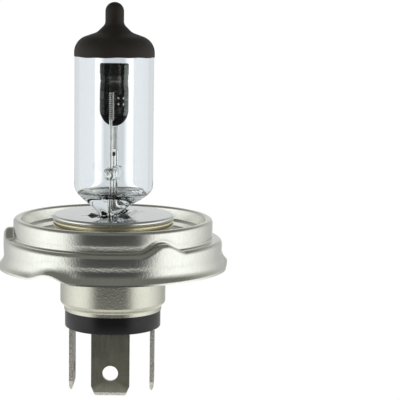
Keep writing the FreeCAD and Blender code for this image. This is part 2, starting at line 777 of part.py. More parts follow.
def antiglare_coating():
    corners = dome_corners()
    return revolved(sheet_wire(corners, dome_radii(), COATING_THICKNESS))


# ---------------------------------------------------------------- burner metalwork


def seal_foil(y):
    """Thin sealing foil standing in the middle of the pinch."""
    return box_between(
        Vector(-FOIL_THICKNESS / 2, y - FOIL_HALF_WIDTH, FOIL_BOTTOM_Z),
        Vector(FOIL_THICKNESS / 2, y + FOIL_HALF_WIDTH, FOIL_TOP_Z),
    )


def support_lead(corners, bends):
    """Support wire that starts on its foil and follows the corners."""
    start = Vector(corners[0].x, corners[0].y, FOIL_TOP_Z)
    return round_wire([start] + corners, bends, LEAD_RADIUS)


def dipped_lead():
    y = -LEAD_SPACING
    inward = DIPPED_COIL_Y - 0.75
    corners = [Vector(0, y, DIPPED_LEAD_TOP_Z - 0.9), Vector(0, inward, DIPPED_LEAD_TOP_Z)]
    return support_lead(corners, [0.5])


def main_lead():
    return support_lead([Vector(0, 0, MAIN_LEAD_TOP_Z)], [])


def common_lead():
    """Longest support wire: it runs up behind the shield cup and carries it."""
    y = LEAD_SPACING
    behind = SHIELD_DEPTH + LEAD_RADIUS + 0.01
    corners = [
        Vector(0, y, SHIELD_BOTTOM_Z - 1.5),
        Vector(0, behind, SHIELD_BOTTOM_Z + 1.0),
        Vector(0, behind, SHIELD_BOWL_Z + 4.5),
    ]
    return support_lead(corners, [LEAD_BEND, LEAD_BEND])


def outer_lead(y, rivet):
    """Wire from the foil, out of the pinch and down through a rivet."""
    start = turned(Vector(0, y, 0), BURNER_YAW)
    x_end, y_end = rivet
    corners = [
        Vector(start.x, start.y, FOIL_BOTTOM_Z),
        Vector(start.x, start.y, -0.5),
        Vector(x_end, y_end, -6.0),
        Vector(x_end, y_end, solder_bottom_z() + 0.38),
    ]
    return round_wire(corners, [1.2, 1.2], LEAD_RADIUS)


def coil_point(angle, pitch, centre):
    """Point of the coil's centre line at a turn angle in radians."""
    return Vector(
        centre.x + COIL_RADIUS * math.cos(angle),
        centre.y + COIL_RADIUS * math.sin(angle),
        centre.z + pitch * angle / (2 * math.pi),
    )


def coil(centre, turns):
    """Single coil of tungsten wire, standing on its centre point."""
    helix = Part.makeHelix(COIL_PITCH, COIL_PITCH * turns, COIL_RADIUS)
    helix.translate(centre)
    start = coil_point(0, COIL_PITCH, centre)
    section = Part.Wire(Part.makeCircle(COIL_WIRE_RADIUS, start, Vector(0, 1, 0)))
    return Part.Wire(helix).makePipeShell([section], True, True)


def tail(start, end):
    """Straight tail of a filament, with a round joint where the coil begins."""
    along = end - start
    rod = Part.makeCylinder(TAIL_RADIUS, along.Length, start, along)
    return rod.fuse(Part.makeSphere(TAIL_RADIUS, start))


def filament(centre, turns, lower_end, upper_end):
    bottom = coil_point(0, COIL_PITCH, centre)
    top = coil_point(2 * math.pi * turns, COIL_PITCH, centre)
    return coil(centre, turns).fuse([tail(bottom, lower_end), tail(top, upper_end)])


def main_beam_filament():
    """Lower coil: from the weld on its lead up to the underside of the cup."""
    centre = Vector(0, MAIN_COIL_Y, MAIN_COIL_BOTTOM_Z)
    lower_end = Vector(0.12, 0.12, MAIN_LEAD_TOP_Z + 0.2)
    cup_share = math.sqrt(1 - (MAIN_COIL_Y / SHIELD_DEPTH) ** 2)
    cup_under_z = SHIELD_BOWL_Z - (SHIELD_BOWL_Z - SHIELD_BOTTOM_Z) * cup_share
    upper_end = Vector(0.2, MAIN_COIL_Y, cup_under_z - 0.02)
    return filament(centre, MAIN_COIL_TURNS, lower_end, upper_end)


def dipped_beam_filament():
    """Upper coil: from the front lead up to the strap in the cup."""
    centre = Vector(0, DIPPED_COIL_Y, DIPPED_COIL_BOTTOM_Z)
    lower_end = Vector(0.05, DIPPED_COIL_Y - 0.6, DIPPED_LEAD_TOP_Z + 0.15)
    upper_end = Vector(0.75, 2.2, STRAP_TOP_Z - 0.35)
    return filament(centre, DIPPED_COIL_TURNS, lower_end, upper_end)


def filament_weld():
    """Weld sleeve that joins the main-beam filament to its lead."""
    centre = Vector(0, 0, MAIN_LEAD_TOP_Z + WELD_RADIUS * 0.6)
    return Part.makeSphere(WELD_RADIUS, centre)


def quartz_bridge():
    """Pressed quartz bar that ties the three support wires."""
    bar = box_between(
        Vector(-BRIDGE_HALF_THICKNESS, -BRIDGE_HALF_LENGTH, BRIDGE_BOTTOM_Z),
        Vector(BRIDGE_HALF_THICKNESS, BRIDGE_HALF_LENGTH, BRIDGE_TOP_Z),
    )
    return bar.makeFillet(BRIDGE_ROUND, bar.Edges)


def bowl(inset):
    """Solid scoop: a half elliptic column with a rounded lower end."""
    half_width = SHIELD_HALF_WIDTH - inset
    depth = SHIELD_DEPTH - inset
    drop = SHIELD_BOWL_Z - SHIELD_BOTTOM_Z - inset
    top = SHIELD_TOP_Z - inset
    squash = FreeCAD.Matrix()
    squash.scale(half_width, depth, drop)
    lower = Part.makeSphere(1).transformGeometry(squash)
    lower.translate(Vector(0, 0, SHIELD_BOWL_Z))
    stretch = FreeCAD.Matrix()
    stretch.scale(half_width, depth, 1)
    column = Part.makeCylinder(1, top - SHIELD_BOWL_Z).transformGeometry(stretch)
    column.translate(Vector(0, 0, SHIELD_BOWL_Z))
    return lower.fuse(column)


def shield_cup():
    """Scoop-shaped shield round the dipped filament, open towards -Y."""
    shell = bowl(0).cut(bowl(SHIELD_SHEET))
    behind_rim = box_between(
        Vector(-5, SHIELD_RIM_Y, SHIELD_BOTTOM_Z - 1),
        Vector(5, 5, SHIELD_TOP_Z + 1),
    )
    return shell.common(behind_rim).removeSplitter()


def strap_frame():
    """Start, direction and normal of the strap across the inside of the cup."""
    along = (STRAP_END - STRAP_START).normalize()
    normal = Vector(along.y, -along.x, 0)
    return STRAP_START, along, normal


def shield_strap():
    start, along, normal = strap_frame()
    length = (STRAP_END - STRAP_START).Length
    low = start + Vector(0, 0, STRAP_BOTTOM_Z)
    outline = [
        low,
        low + along * length,
        low + along * length + normal * STRAP_THICKNESS,
        low + normal * STRAP_THICKNESS,
    ]
    face = Part.Face(Part.makePolygon(outline + outline[:1]))
    return face.extrude(Vector(0, 0, STRAP_TOP_Z - STRAP_BOTTOM_Z))


def strap_welds():
    """Four spot welds on the front of the strap."""
    start, along, normal = strap_frame()
    length = (STRAP_END - STRAP_START).Length
    spots = []
    for share in (0.22, 0.78):
        for height in (STRAP_BOTTOM_Z + 0.6, STRAP_TOP_Z - 0.6):
            place = start + along * (length * share) + normal * STRAP_THICKNESS
            place.z = height
            spots.append(Part.makeCylinder(SPOT_RADIUS, SPOT_HEIGHT, place, normal))
    return Part.makeCompound(spots)


# ---------------------------------------------------------------- assembly


def burner_pieces():
    """Pieces of the burner by node name, in their place in the lamp."""
    names = ("dipped", "main", "common")
    places = (-LEAD_SPACING, 0, LEAD_SPACING)
    leads = {
        "dipped_lead": dipped_lead(),
        "main_lead": main_lead(),
        "common_lead": common_lead(),
    }
    foils = {name + "_foil": seal_foil(y) for name, y in zip(names, places)}
    pinch_wires = [
        Part.makeCylinder(LEAD_RADIUS, FOIL_BOTTOM_Z - PINCH_BOTTOM_Z + 1,
                          Vector(0, y, PINCH_BOTTOM_Z - 1))
        for y in places
    ]
    embedded = list(leads.values()) + list(foils.values()) + pinch_wires
    pieces = {
        "quartz_envelope": quartz_envelope(embedded),
        "antiglare_coating": antiglare_coating(),
        "quartz_bridge": quartz_bridge().cut(list(leads.values())),
        "main_beam_filament": main_beam_filament().cut(shield_cup()),
        "shield_cup": shield_cup(),
        "shield_strap": shield_strap(),
        "strap_welds": strap_welds(),
        "cap_plate": cap_plate(),
        "pinch_clamp": pinch_clamp(),
    }
    pieces.update(leads)
    pieces.update(foils)
    joined = [pieces["main_lead"], pieces["main_beam_filament"]]
    pieces["filament_weld"] = filament_weld().cut(joined)
    touching = [pieces["dipped_lead"], pieces["shield_strap"]]
    pieces["dipped_beam_filament"] = dipped_beam_filament().cut(touching)
    return {name: burner_turned(shape) for name, shape in pieces.items()}


def base_pieces():
    """Pieces of the base by node name."""
    front, right, left = rivet_places()
    return {
        "locating_flange": locating_flange(),
        "base_shell": base_shell(),
        "insulator": insulator(),
        "terminal_dipped_beam": terminal(FRONT_BLADE_OFFSET, FRONT_RIVET_OFFSET),
        "terminal_main_beam": side_terminal(1),
        "terminal_earth": side_terminal(-1),
        "terminal_rivets": terminal_rivets(),
        "solder_joints": solder_joints(),
        "dipped_outer_lead": outer_lead(-LEAD_SPACING, front),
        "main_outer_lead": outer_lead(0, right),
        "common_outer_lead": outer_lead(LEAD_SPACING, left),
    }


def main():
    os.makedirs("parts", exist_ok=True)
    pieces = {**burner_pieces(), **base_pieces()}
    for name, shape in pieces.items():
        placed = shape.translated(Vector(0, 0, -ORIGIN_Z))
        placed.exportStep(os.path.join("parts", name + ".step"))


main()
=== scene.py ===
from math import cos, exp, pi, radians, sin, sqrt, tan

import bmesh
import bpy
from bmesh import ops
from mathutils import Matrix, Vector


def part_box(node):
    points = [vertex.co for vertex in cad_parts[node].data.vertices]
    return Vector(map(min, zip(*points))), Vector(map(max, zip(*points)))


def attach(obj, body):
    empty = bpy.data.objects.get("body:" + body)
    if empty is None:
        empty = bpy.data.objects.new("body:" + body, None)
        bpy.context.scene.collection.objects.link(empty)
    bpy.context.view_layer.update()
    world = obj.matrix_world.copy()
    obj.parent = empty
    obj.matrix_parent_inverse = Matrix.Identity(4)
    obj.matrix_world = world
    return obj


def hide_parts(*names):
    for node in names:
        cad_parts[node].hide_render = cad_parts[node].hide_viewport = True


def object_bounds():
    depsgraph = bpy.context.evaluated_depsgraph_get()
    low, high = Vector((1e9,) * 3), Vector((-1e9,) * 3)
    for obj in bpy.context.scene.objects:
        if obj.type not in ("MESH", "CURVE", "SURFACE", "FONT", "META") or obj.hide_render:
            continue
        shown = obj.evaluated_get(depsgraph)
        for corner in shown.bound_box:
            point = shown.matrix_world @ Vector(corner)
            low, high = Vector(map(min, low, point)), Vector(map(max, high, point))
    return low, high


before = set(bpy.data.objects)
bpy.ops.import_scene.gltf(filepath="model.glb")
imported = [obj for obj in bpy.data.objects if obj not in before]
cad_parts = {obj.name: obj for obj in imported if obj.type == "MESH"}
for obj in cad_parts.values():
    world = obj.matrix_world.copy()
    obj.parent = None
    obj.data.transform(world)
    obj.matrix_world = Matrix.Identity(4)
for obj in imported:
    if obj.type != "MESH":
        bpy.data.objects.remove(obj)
cad_low, cad_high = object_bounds()

# Lengths are in millimetres until mesh_object() turns them into metres, and heights are
# measured from a plane FLANGE_TOP_Z below the flange's folded top edge.
# Azimuth is in degrees from the front (-Y, the single blade's side) towards +X.
MM = 0.001
BURNER_YAW = radians(-10)
FLANGE_TOP_Z = 10.3
PLANE = Vector((0, 0, FLANGE_TOP_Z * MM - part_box("locating_flange")[1].z))


def node_box(node):
    """Lowest and highest corner of a CAD node, in millimetres."""
    low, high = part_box(node)
    return (low + PLANE) / MM, (high + PLANE) / MM


def to_frame(work, yaw):
    """Turns a mesh about the lamp axis and brings it into the frame, in metres."""
    ops.transform(work, matrix=Matrix.Rotation(yaw, 4, "Z"), verts=work.verts)
    ops.scale(work, vec=(MM, MM, MM), verts=work.verts)
    ops.translate(work, vec=-PLANE, verts=work.verts)


# ---------- profile and mesh helpers


def rounded_path(corners, radii, steps=8):
    """Points along a path through the corners, each inner corner rounded by its radius."""
    corners = [Vector(c) for c in corners]
    points = [corners[0]]
    for index, radius in enumerate(radii, start=1):
        corner = corners[index]
        before = (corners[index - 1] - corner).normalized()
        after = (corners[index + 1] - corner).normalized()
        half = before.angle(after) / 2
        if radius <= 0 or half > radians(89.5):
            points.extend([corner] * (steps + 1))
            continue
        reach = radius / tan(half)
        centre = corner + (before + after).normalized() * (radius / sin(half))
        start = corner + before * reach - centre
        end = corner + after * reach - centre
        sweep = pi - 2 * half
        for step in range(steps + 1):
            share = step / steps
            near = sin((1 - share) * sweep) / sin(sweep)
            far = sin(share * sweep) / sin(sweep)
            points.append(centre + start * near + end * far)
    points.append(corners[-1])
    return points


def offset_path(points, distance):
    """Path beside a 2-D path, at a distance on its left."""
    points = [Vector(p) for p in points]
    steps = [(end - start).normalized() for start, end in zip(points, points[1:])]
    along = next(step for step in steps if step.length > 0)
    normals = []
    for step in steps:
        along = step if step.length > 0 else along
        normals.append(Vector((-along.y, along.x)))
    moved = [points[0] + normals[0] * distance]
    for point, before, after in zip(points[1:], normals, normals[1:]):
        moved.append(point + (before + after) * (distance / (1 + before.dot(after))))
    moved.append(points[-1] + normals[-1] * distance)
    return moved


def offset_corners(corners, radii, distance):
    """Corners and radii of the path at a distance on the left of a cornered 2-D path."""
    moved = offset_path(corners, distance)
    new_radii = []
    for index, radius in enumerate(radii, start=1):
        before = Vector(corners[index]) - Vector(corners[index - 1])
        after = Vector(corners[index + 1]) - Vector(corners[index])
        turns_left = before.x * after.y - before.y * after.x > 0
        new_radii.append(radius - distance if turns_left else radius + distance)
    return moved, new_radii


def sheet_section(corners, radii, thickness, steps=8):
    """Closed section of a sheet: its skin follows the corners, its metal is on their left."""
    skin = rounded_path(corners, radii, steps)
    inner_corners, inner_radii = offset_corners(corners, radii, thickness)
    return skin + rounded_path(inner_corners, inner_radii, steps)[::-1]


def placed(name, data):
    """A new object in the scene."""
    made = bpy.data.objects.new(name, data)
    bpy.context.scene.collection.objects.link(made)
    return made


def object_from(name, work):
    """A new object in the scene whose mesh is a finished bmesh."""
    mesh = bpy.data.meshes.new(name)
    work.to_mesh(mesh)
    work.free()
    return placed(name, mesh)


def mesh_object(name, node, shape, material, sharp=40, yaw=0.0, keep_winding=False):
    """A smooth-shaded piece that rides on the lamp, from its points, in millimetres, and faces.

    It stands for a CAD node, if one is given. Glass keeps the winding it was built with, turned
    over, so that a bore's normals face inwards, and has no sharp edges.
    """
    merge, degenerate = (0.002, 0.0005) if keep_winding else (0.0001, 0.00005)
    raw = bpy.data.meshes.new(name + "_raw")
    points, faces = shape
    raw.from_pydata([tuple(p) for p in points], [], [tuple(f) for f in faces])
    work = bmesh.new()
    work.from_mesh(raw)
    bpy.data.meshes.remove(raw)
    ops.remove_doubles(work, verts=work.verts, dist=merge)
    ops.dissolve_degenerate(work, edges=work.edges, dist=degenerate)
    if keep_winding:
        ops.reverse_faces(work, faces=work.faces)
    else:
        ops.recalc_face_normals(work, faces=work.faces)
    to_frame(work, yaw)
    piece = object_from(name, work)
    piece.data.shade_smooth()
    if not keep_winding:
        piece.data.set_sharp_from_angle(angle=radians(sharp))
    piece.data.materials.append(material)
    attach(piece, "root")
    if node:
        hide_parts(node)
    return piece


def grid_faces(rows, columns, wrap_rows=False, wrap_columns=True):
    """Quads of a grid of points stored row by row."""
    faces = []
    for row in range(rows if wrap_rows else rows - 1):
        next_row = (row + 1) % rows
        for column in range(columns if wrap_columns else columns - 1):
            next_column = (column + 1) % columns
            faces.append((
                row * columns + column,
                row * columns + next_column,
                next_row * columns + next_column,
                next_row * columns + column,
            ))
    return faces


def around(radius, azimuth, height):
    """Point at a radius and an azimuth in radians."""
    return (radius * sin(azimuth), -radius * cos(azimuth), height)


def lathe_mesh(profile, segments, closed=False, centre=(0, 0)):
    """Points and faces of a profile turned about a vertical axis."""
    points = []
    for radius, height in profile:
        for segment in range(segments):
            x, y, z = around(radius, 2 * pi * segment / segments, height)
            points.append((x + centre[0], y + centre[1], z))
    return points, grid_faces(len(profile), segments, wrap_rows=closed)


def tube_mesh(path, radius, sides):
    """Points and faces of a round wire along a 3-D path, with domed ends."""
    path = [Vector(p) for p in path]
    neighbours = zip(path[:1] + path[:-1], path[1:] + path[-1:])
    tangents = [(after - before).normalized() for before, after in neighbours]
    side = tangents[0].orthogonal().normalized()
    dome = [(radius * cos(angle), radius * sin(angle))
            for angle in (pi / 2 * step / 4 for step in range(4))]
    rings = [(path[0] - tangents[0] * out, tangents[0], width) for out, width in dome]
    rings += [(point, tangent, radius) for point, tangent in zip(path, tangents)]
    rings += [(path[-1] + tangents[-1] * out, tangents[-1], width) for out, width in reversed(dome)]
    points = []
    for centre, tangent, ring_radius in rings:
        side = (side - tangent * side.dot(tangent)).normalized()
        other = tangent.cross(side)
        for index in range(sides):
            angle = 2 * pi * index / sides
            points.append(centre + (side * cos(angle) + other * sin(angle)) * ring_radius)
    return points, grid_faces(len(rings), sides)


def joined(parts):
    """One points-and-faces pair from several."""
    points, faces = [], []
    for part_points, part_faces in parts:
        base = len(points)
        points.extend(part_points)
        faces.extend(tuple(index + base for index in face) for face in part_faces)
    return points, faces


def smooth_step(share):
    share = min(max(share, 0.0), 1.0)
    return share * share * (3 - 2 * share)


def cutter_box(low, high, yaw):
    """Temporary box for a cut, from its low and high corner in millimetres."""
    work = bmesh.new()
    ops.create_cube(work, size=1)
    for vert in work.verts:
        share = vert.co + Vector((0.5, 0.5, 0.5))
        vert.co = Vector(a + (b - a) * t for a, b, t in zip(low, high, share))
    to_frame(work, yaw)
    return object_from("cutter", work)


def boolean_cut(piece, spans, heights, yaw):
    """Cuts boxes out of a piece, one after another, each given by its span in x and in y."""
    for x_span, y_span in spans:
        cutter = cutter_box(*zip(x_span, y_span, heights), yaw)
        cut = piece.modifiers.new("cut", "BOOLEAN")
        cut.operation = "DIFFERENCE"
        cut.solver = "EXACT"
        cut.object = cutter
        bpy.context.view_layer.update()
        graph = bpy.context.evaluated_depsgraph_get()
        result = bpy.data.meshes.new_from_object(piece.evaluated_get(graph))
        piece.modifiers.remove(cut)
        old = piece.data
        piece.data = result
        bpy.data.meshes.remove(old)
        bpy.data.objects.remove(cutter)
    piece.data.set_sharp_from_angle(angle=radians(40))


# ---------- node helpers


class Shader:
    """Short-hand for building a node tree: a new material's, or one that is given."""

    def __init__(self, name=None, tree=None):
        self.tree = tree
        if name:
            self.material = bpy.data.materials.new(name)
            self.material.use_nodes = True
            self.tree = self.material.node_tree
            self.surface = self.tree.nodes["Principled BSDF"]
            self.output = self.tree.nodes["Material Output"]

    def feed(self, target, source):
        """Links an input from an output, or sets it from a number, a vector or a colour."""
        if isinstance(source, bpy.types.NodeSocket):
            self.tree.links.new(source, target)
        elif target.type == "RGBA":
            target.default_value = (*source, 1)
        else:
            target.default_value = source

    def node(self, kind, inputs=(), output=0, **settings):
        """Adds a node, feeds its inputs by index or name, and returns one of its outputs."""
        made = self.tree.nodes.new("ShaderNode" + kind)
        for key, setting in settings.items():
            setattr(made, key, setting)
        for key, source in dict(inputs).items():
            self.feed(made.inputs[key], source)
        return made.outputs[output]

    def math(self, operation, first, second=0.0):
        return self.node("Math", {0: first, 1: second}, operation=operation)

    def vector(self, operation, first, second):
        return self.node("VectorMath", {0: first, 1: second}, operation=operation)

    def axis(self, source, index):
        """One coordinate of a vector."""
        return self.node("SeparateXYZ", {0: source}, index)

    def position(self):
        return self.node("NewGeometry", output="Position")

    def noise(self, scale, detail=4.0, roughness=0.55, place=None):
        return self.node("TexNoise", {
            "Vector": place or self.position(),
            "Scale": scale, "Detail": detail, "Roughness": roughness,
        })

    def remap(self, source, low, high, to_low, to_high):
        return self.node("MapRange", dict(enumerate((source, low, high, to_low, to_high))))

    def spread(self, noise, low, high):
        """Spreads the middle of a noise over a range of values."""
        return self.remap(noise, 0.3, 0.7, low, high)

    def ramp(self, source, stops):
        out = self.node("ValToRGB", {0: source})
        elements = out.node.color_ramp.elements
        while len(elements) < len(stops):
            elements.new(0.5)
        for element, (place, colour) in zip(elements, stops):
            element.position = place
            element.color = (*colour, 1)
        return out

    def mix_colour(self, factor, first, second):
        return self.node("Mix", {0: factor, 6: first, 7: second}, 2, data_type="RGBA")

    def mix_surface(self, factor, first, second):
        """Makes a mix of two shaders the material's surface, and returns the material."""
        mixed = self.node("MixShader", {0: factor, 1: first, 2: second})
        self.feed(self.output.inputs["Surface"], mixed)
        return self.material

    def bump(self, height, distance, strength=1.0, **normal):
        inputs = {"Height": height, "Distance": distance, "Strength": strength}
        return self.node("Bump", {**inputs, **normal})

    def lamp_direction(self):
        """Unit direction from the lamp axis: constant along a vertical or radial line."""
        flat = self.vector("MULTIPLY", self.position(), (1, 1, 0))
        return self.vector("NORMALIZE", flat, (0, 0, 0))

    def draw_marks(self, scale, upright):
        """Noise drawn out along the lamp axis, as on a deep-drawn wall."""
        height = self.vector("MULTIPLY", self.position(), (0, 0, upright))
        place = self.vector("ADD", self.lamp_direction(), height)
        return self.noise(scale, 6.0, 0.6, place)

    def turning_marks(self, scale):
        """Noise that runs round the lamp axis, as left by turning or rolling."""
        flat = self.vector("MULTIPLY", self.position(), (1, 1, 0))
        length = self.node("VectorMath", {0: flat}, "Value", operation="LENGTH")
        place = self.node("CombineXYZ", {0: length, 2: self.axis(self.position(), 2)})
        return self.noise(scale, 5.0, 0.65, place)

    def set(self, **values):
        """Feeds the Principled shader by input name, and returns the material."""
        for key, source in values.items():
            self.feed(self.surface.inputs[key.replace("_", " ")], source)
        return self.material


# ---------- materials

QUARTZ_IOR = 1.458


def nickel_material(name, dark, light, rough_low, rough_high, streak):
    """Satin nickel plate: draw marks, faint clouding and fine pits."""
    s = Shader(name)
    marks = s.draw_marks(140, 6.0)
    clouds = s.noise(210, detail=3)
    grain = s.noise(2600, detail=3)
    tone = s.math("ADD", s.math("MULTIPLY", marks, 0.55), s.math("MULTIPLY", clouds, 0.2))
    tone = s.math("ADD", tone, s.math("MULTIPLY", grain, 0.25))
    s.set(
        Base_Color=s.ramp(tone, [(0.30, dark), (0.72, light)]),
        Metallic=1.0,
        Roughness=s.spread(tone, rough_high, rough_low),
    )
    fine = s.bump(grain, 0.00003, 0.8)
    return s.set(Normal=s.bump(marks, 0.000012, streak, Normal=fine))


def mirror_nickel_material():
    """Polished nickel of the cap plate, with faint polishing swirls and a painted warm gold
    reflection on its skirt.
    """
    s = Shader("bright_nickel")
    swirls = s.turning_marks(2600)
    clouds = s.noise(320, detail=3)
    cap_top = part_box("cap_plate")[1].z
    # Painted reflection: the skirt below the plate's top is tinted warm gold.
    low = s.remap(s.axis(s.position(), 2), cap_top - 0.0021, cap_top - 0.0009, 1.0, 0.0)
    plate = s.ramp(clouds, [(0.3, (0.62, 0.645, 0.66)), (0.7, (0.70, 0.725, 0.745))])
    return s.set(
        Base_Color=s.mix_colour(low, plate, (0.86, 0.79, 0.58)),
        Metallic=1.0,
        Roughness=s.spread(clouds, 0.04, 0.09),
        Normal=s.bump(swirls, 0.000002, 0.35),
    )


def glass_material(name, tint, wobble, wobble_scale):
    """Fused quartz: clear, slightly wavy, and open to shadow and diffuse rays."""
    s = Shader(name)
    waves = s.noise(wobble_scale, detail=2)
    seeds = s.noise(2400, detail=2)
    glass = s.node("BsdfGlass", {
        "Color": tint, "IOR": QUARTZ_IOR, "Normal": s.bump(waves, wobble, 1.0),
        "Roughness": s.remap(seeds, 0.2, 0.9, 0.0, 0.02),
    })
    clear = s.node("BsdfTransparent", {"Color": (0.96, 0.97, 0.98)})
    rays = [s.node("LightPath", output=kind) for kind in ("Is Shadow Ray", "Is Diffuse Ray")]
    return s.mix_surface(s.math("MAXIMUM", *rays), glass, clear)


def coating_material():
    """Brown-black ceramic paint with a soft sheen, clouding and pale specks."""
    s = Shader("antiglare_black")
    clouds = s.noise(420, detail=5)
    specks = s.node("TexVoronoi", {"Vector": s.position(), "Scale": 900}, "Distance", feature="F1")
    speck = s.remap(specks, 0.05, 0.10, 1.0, 0.0)
    chosen = s.math("GREATER_THAN", s.noise(700, detail=1), 0.66)
    base = s.ramp(clouds, [(0.3, (0.020, 0.0165, 0.0135)), (0.75, (0.032, 0.027, 0.023))])
    grain = s.noise(6000, detail=3)
    return s.set(
        Base_Color=s.mix_colour(s.math("MULTIPLY", speck, chosen), base, (0.16, 0.14, 0.12)),
        Roughness=s.spread(clouds, 0.50, 0.66),
        Specular_IOR_Level=0.22,
        Normal=s.bump(grain, 0.00001, 0.5),
    )


def plastic_material():
    """Black moulded plastic with fine turned streaks and grey scuffs."""
    s = Shader("black_plastic")
    rings = s.turning_marks(2300)
    scuffs = s.noise(900, detail=6, roughness=0.7)
    scuff = s.math("GREATER_THAN", scuffs, 0.67)
    return s.set(
        Base_Color=s.mix_colour(s.math("MULTIPLY", scuff, 0.5), (0.008, 0.008, 0.009),
                                (0.06, 0.06, 0.06)),
        Roughness=s.spread(rings, 0.16, 0.28),
        Specular_IOR_Level=0.3,
        Normal=s.bump(rings, 0.00001, 0.5),
    )


def blade_material():
    """Dull brown-grey plated strip with fine speckle and faint rolling lines."""
    s = Shader("blade_metal")
    stretched = s.vector("MULTIPLY", s.position(), (1, 1, 0.12))
    rolling = s.noise(2600, place=stretched)
    stains = s.noise(380, detail=5)
    speckle = s.noise(5200, detail=2)
    bright = s.remap(speckle, 0.66, 0.74, 0.0, 0.55)
    base = s.ramp(stains, [(0.3, (0.19, 0.19, 0.155)), (0.7, (0.25, 0.25, 0.21))])
    return s.set(
        Base_Color=s.mix_colour(bright, base, (0.50, 0.49, 0.43)),
        Metallic=1.0,
        Roughness=s.spread(rolling, 0.34, 0.48),
        Normal=s.bump(speckle, 0.000006, 0.5, Normal=s.bump(rolling, 0.000008, 0.4)),
    )


def cut_edge_material():
    """Sheared edge of the strip: lighter, rough, with fine tear marks."""
    s = Shader("blade_edge")
    tears = s.noise(3600, detail=5, roughness=0.7)
    return s.set(
        Base_Color=s.ramp(tears, [(0.35, (0.30, 0.29, 0.27)), (0.62, (0.78, 0.77, 0.73))]),
        Metallic=1.0,
        Roughness=s.spread(tears, 0.28, 0.5),
        Normal=s.bump(tears, 0.00003, 0.8),
    )


def metal_shader(name, dark, light, rough_low, rough_high, scale, distance):
    """Plain metal whose tone, roughness and relief come from one noise."""
    s = Shader(name)
    mottle = s.noise(scale, 5, 0.6)
    tone = s.ramp(mottle, [(0.3, dark), (0.7, light)])
    s.set(
        Base_Color=tone,
        Metallic=1.0,
        Roughness=s.spread(mottle, rough_low, rough_high),
        Normal=s.bump(mottle, distance, 0.6),
    )
    return s, mottle, tone


def metal_material(*look):
    return metal_shader(*look)[0].material


def shield_material():
    """Dark pressed sheet: nearly black, with a duller pale band under its roof, a painted
    reflection.
    """
    s, mottle, dark = metal_shader(
        "shield_metal", (0.035, 0.034, 0.032), (0.085, 0.084, 0.078), 0.16, 0.34, 520, 0.00004)
    # Painted reflection: a pale band 2.6 to 4.8 mm below the scoop's roof.
    below = s.math("SUBTRACT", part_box("shield_cup")[1].z, s.axis(s.position(), 2))
    reflection_band_top = s.remap(below, 0.0026, 0.0029, 0.0, 1.0)
    reflection_band_bottom = s.remap(below, 0.0040, 0.0048, 1.0, 0.0)
    pale = s.ramp(mottle, [(0.3, (0.12, 0.125, 0.115)), (0.7, (0.26, 0.27, 0.25))])
    return s.set(Base_Color=s.mix_colour(s.math("MULTIPLY", reflection_band_top, reflection_band_bottom), dark, pale))


NICKEL = nickel_material(
    "nickel_steel", (0.60, 0.612, 0.565), (0.72, 0.735, 0.685), 0.12, 0.22, 0.12)
SHELL_NICKEL = nickel_material(
    "shell_nickel", (0.49, 0.49, 0.425), (0.58, 0.58, 0.51), 0.19, 0.26, 0.0)
BRIGHT = mirror_nickel_material()
QUARTZ = glass_material("quartz_glass", (0.985, 0.992, 0.996), 0.00002, 90)
BRIDGE_QUARTZ = glass_material("bridge_quartz", (0.985, 0.990, 0.995), 0.0001, 420)
COATING = coating_material()
PLASTIC = plastic_material()
BLADE = blade_material()
CUT_EDGE = cut_edge_material()
RIVET = metal_material(
    "rivet_metal", (0.55, 0.50, 0.40), (0.86, 0.82, 0.70), 0.16, 0.30, 900, 0.00002)
SOLDER = metal_material(
    "solder", (0.45, 0.43, 0.42), (0.90, 0.88, 0.85), 0.12, 0.30, 1500, 0.00012)
MOLYBDENUM = metal_material(
    "molybdenum", (0.66, 0.68, 0.66), (0.90, 0.92, 0.90), 0.14, 0.26, 1200, 0.00001)
TUNGSTEN = metal_material(
    "tungsten", (0.62, 0.63, 0.61), (0.90, 0.90, 0.88), 0.06, 0.12, 2600, 0.00001)
SHIELD_METAL = shield_material()
# Painted highlight: the scoop's turned-out edges get a lighter copy of its dark metal.
SHIELD_RIM_PAINTED_HIGHLIGHT = metal_material(
    "shield_rim_painted_highlight", (0.17, 0.19, 0.18), (0.34, 0.37, 0.355), 0.18, 0.34, 700, 0.00002)
# Painted highlight: the spot welds are a near-white metal, far lighter than the strap they sit on.
WELD_PAINTED_HIGHLIGHT = metal_material(
    "weld_painted_highlight", (0.86, 0.86, 0.84), (0.98, 0.98, 0.97), 0.08, 0.16, 1800, 0.00002)


# ---------- locating flange

SHEET = 0.5
RIM_RADIUS = 23.6
DRUM_RADIUS = 22.5
STEP_RADIUS = 20.5
FOLD_RADIUS = 18.9
LEDGE_OUTER_RADIUS = 18.5
LEDGE_INNER_RADIUS = 17.5
FLOOR_RADIUS = 17.2
COLLAR_RADIUS = 11.4
RIM_Z = 0.6
FLARE_TOP_Z = 1.9
FLARE_ROUND = 2.6
SHOULDER_ROUND = 1.1
SHOULDER_Z = 6.2
LEDGE_Z = 7.9
FLOOR_Z = 6.7
COLLAR_TOP_Z = 8.8
SHOULDER_LIFT = 1.75
RIM_LIFT = 1.2
BUMP_AZIMUTHS = (30, 150, 270)
DENT_AZIMUTHS = (90, 210, 330)
DRAW_IN = 0.13  # how far a wall's lower end leans in from its upper end
KEY_AZIMUTH = 180
KEY_HALF_WIDTH = 1.7
KEY_WALL = 0.6
KEY_FLOOR_RADIUS = 20.95
FEATURE_HALF_ANGLE = 13.5
FEATURE_FLAT_HALF_ANGLE = 0.5
FLANGE_LOW, FLANGE_HIGH = node_box("locating_flange")


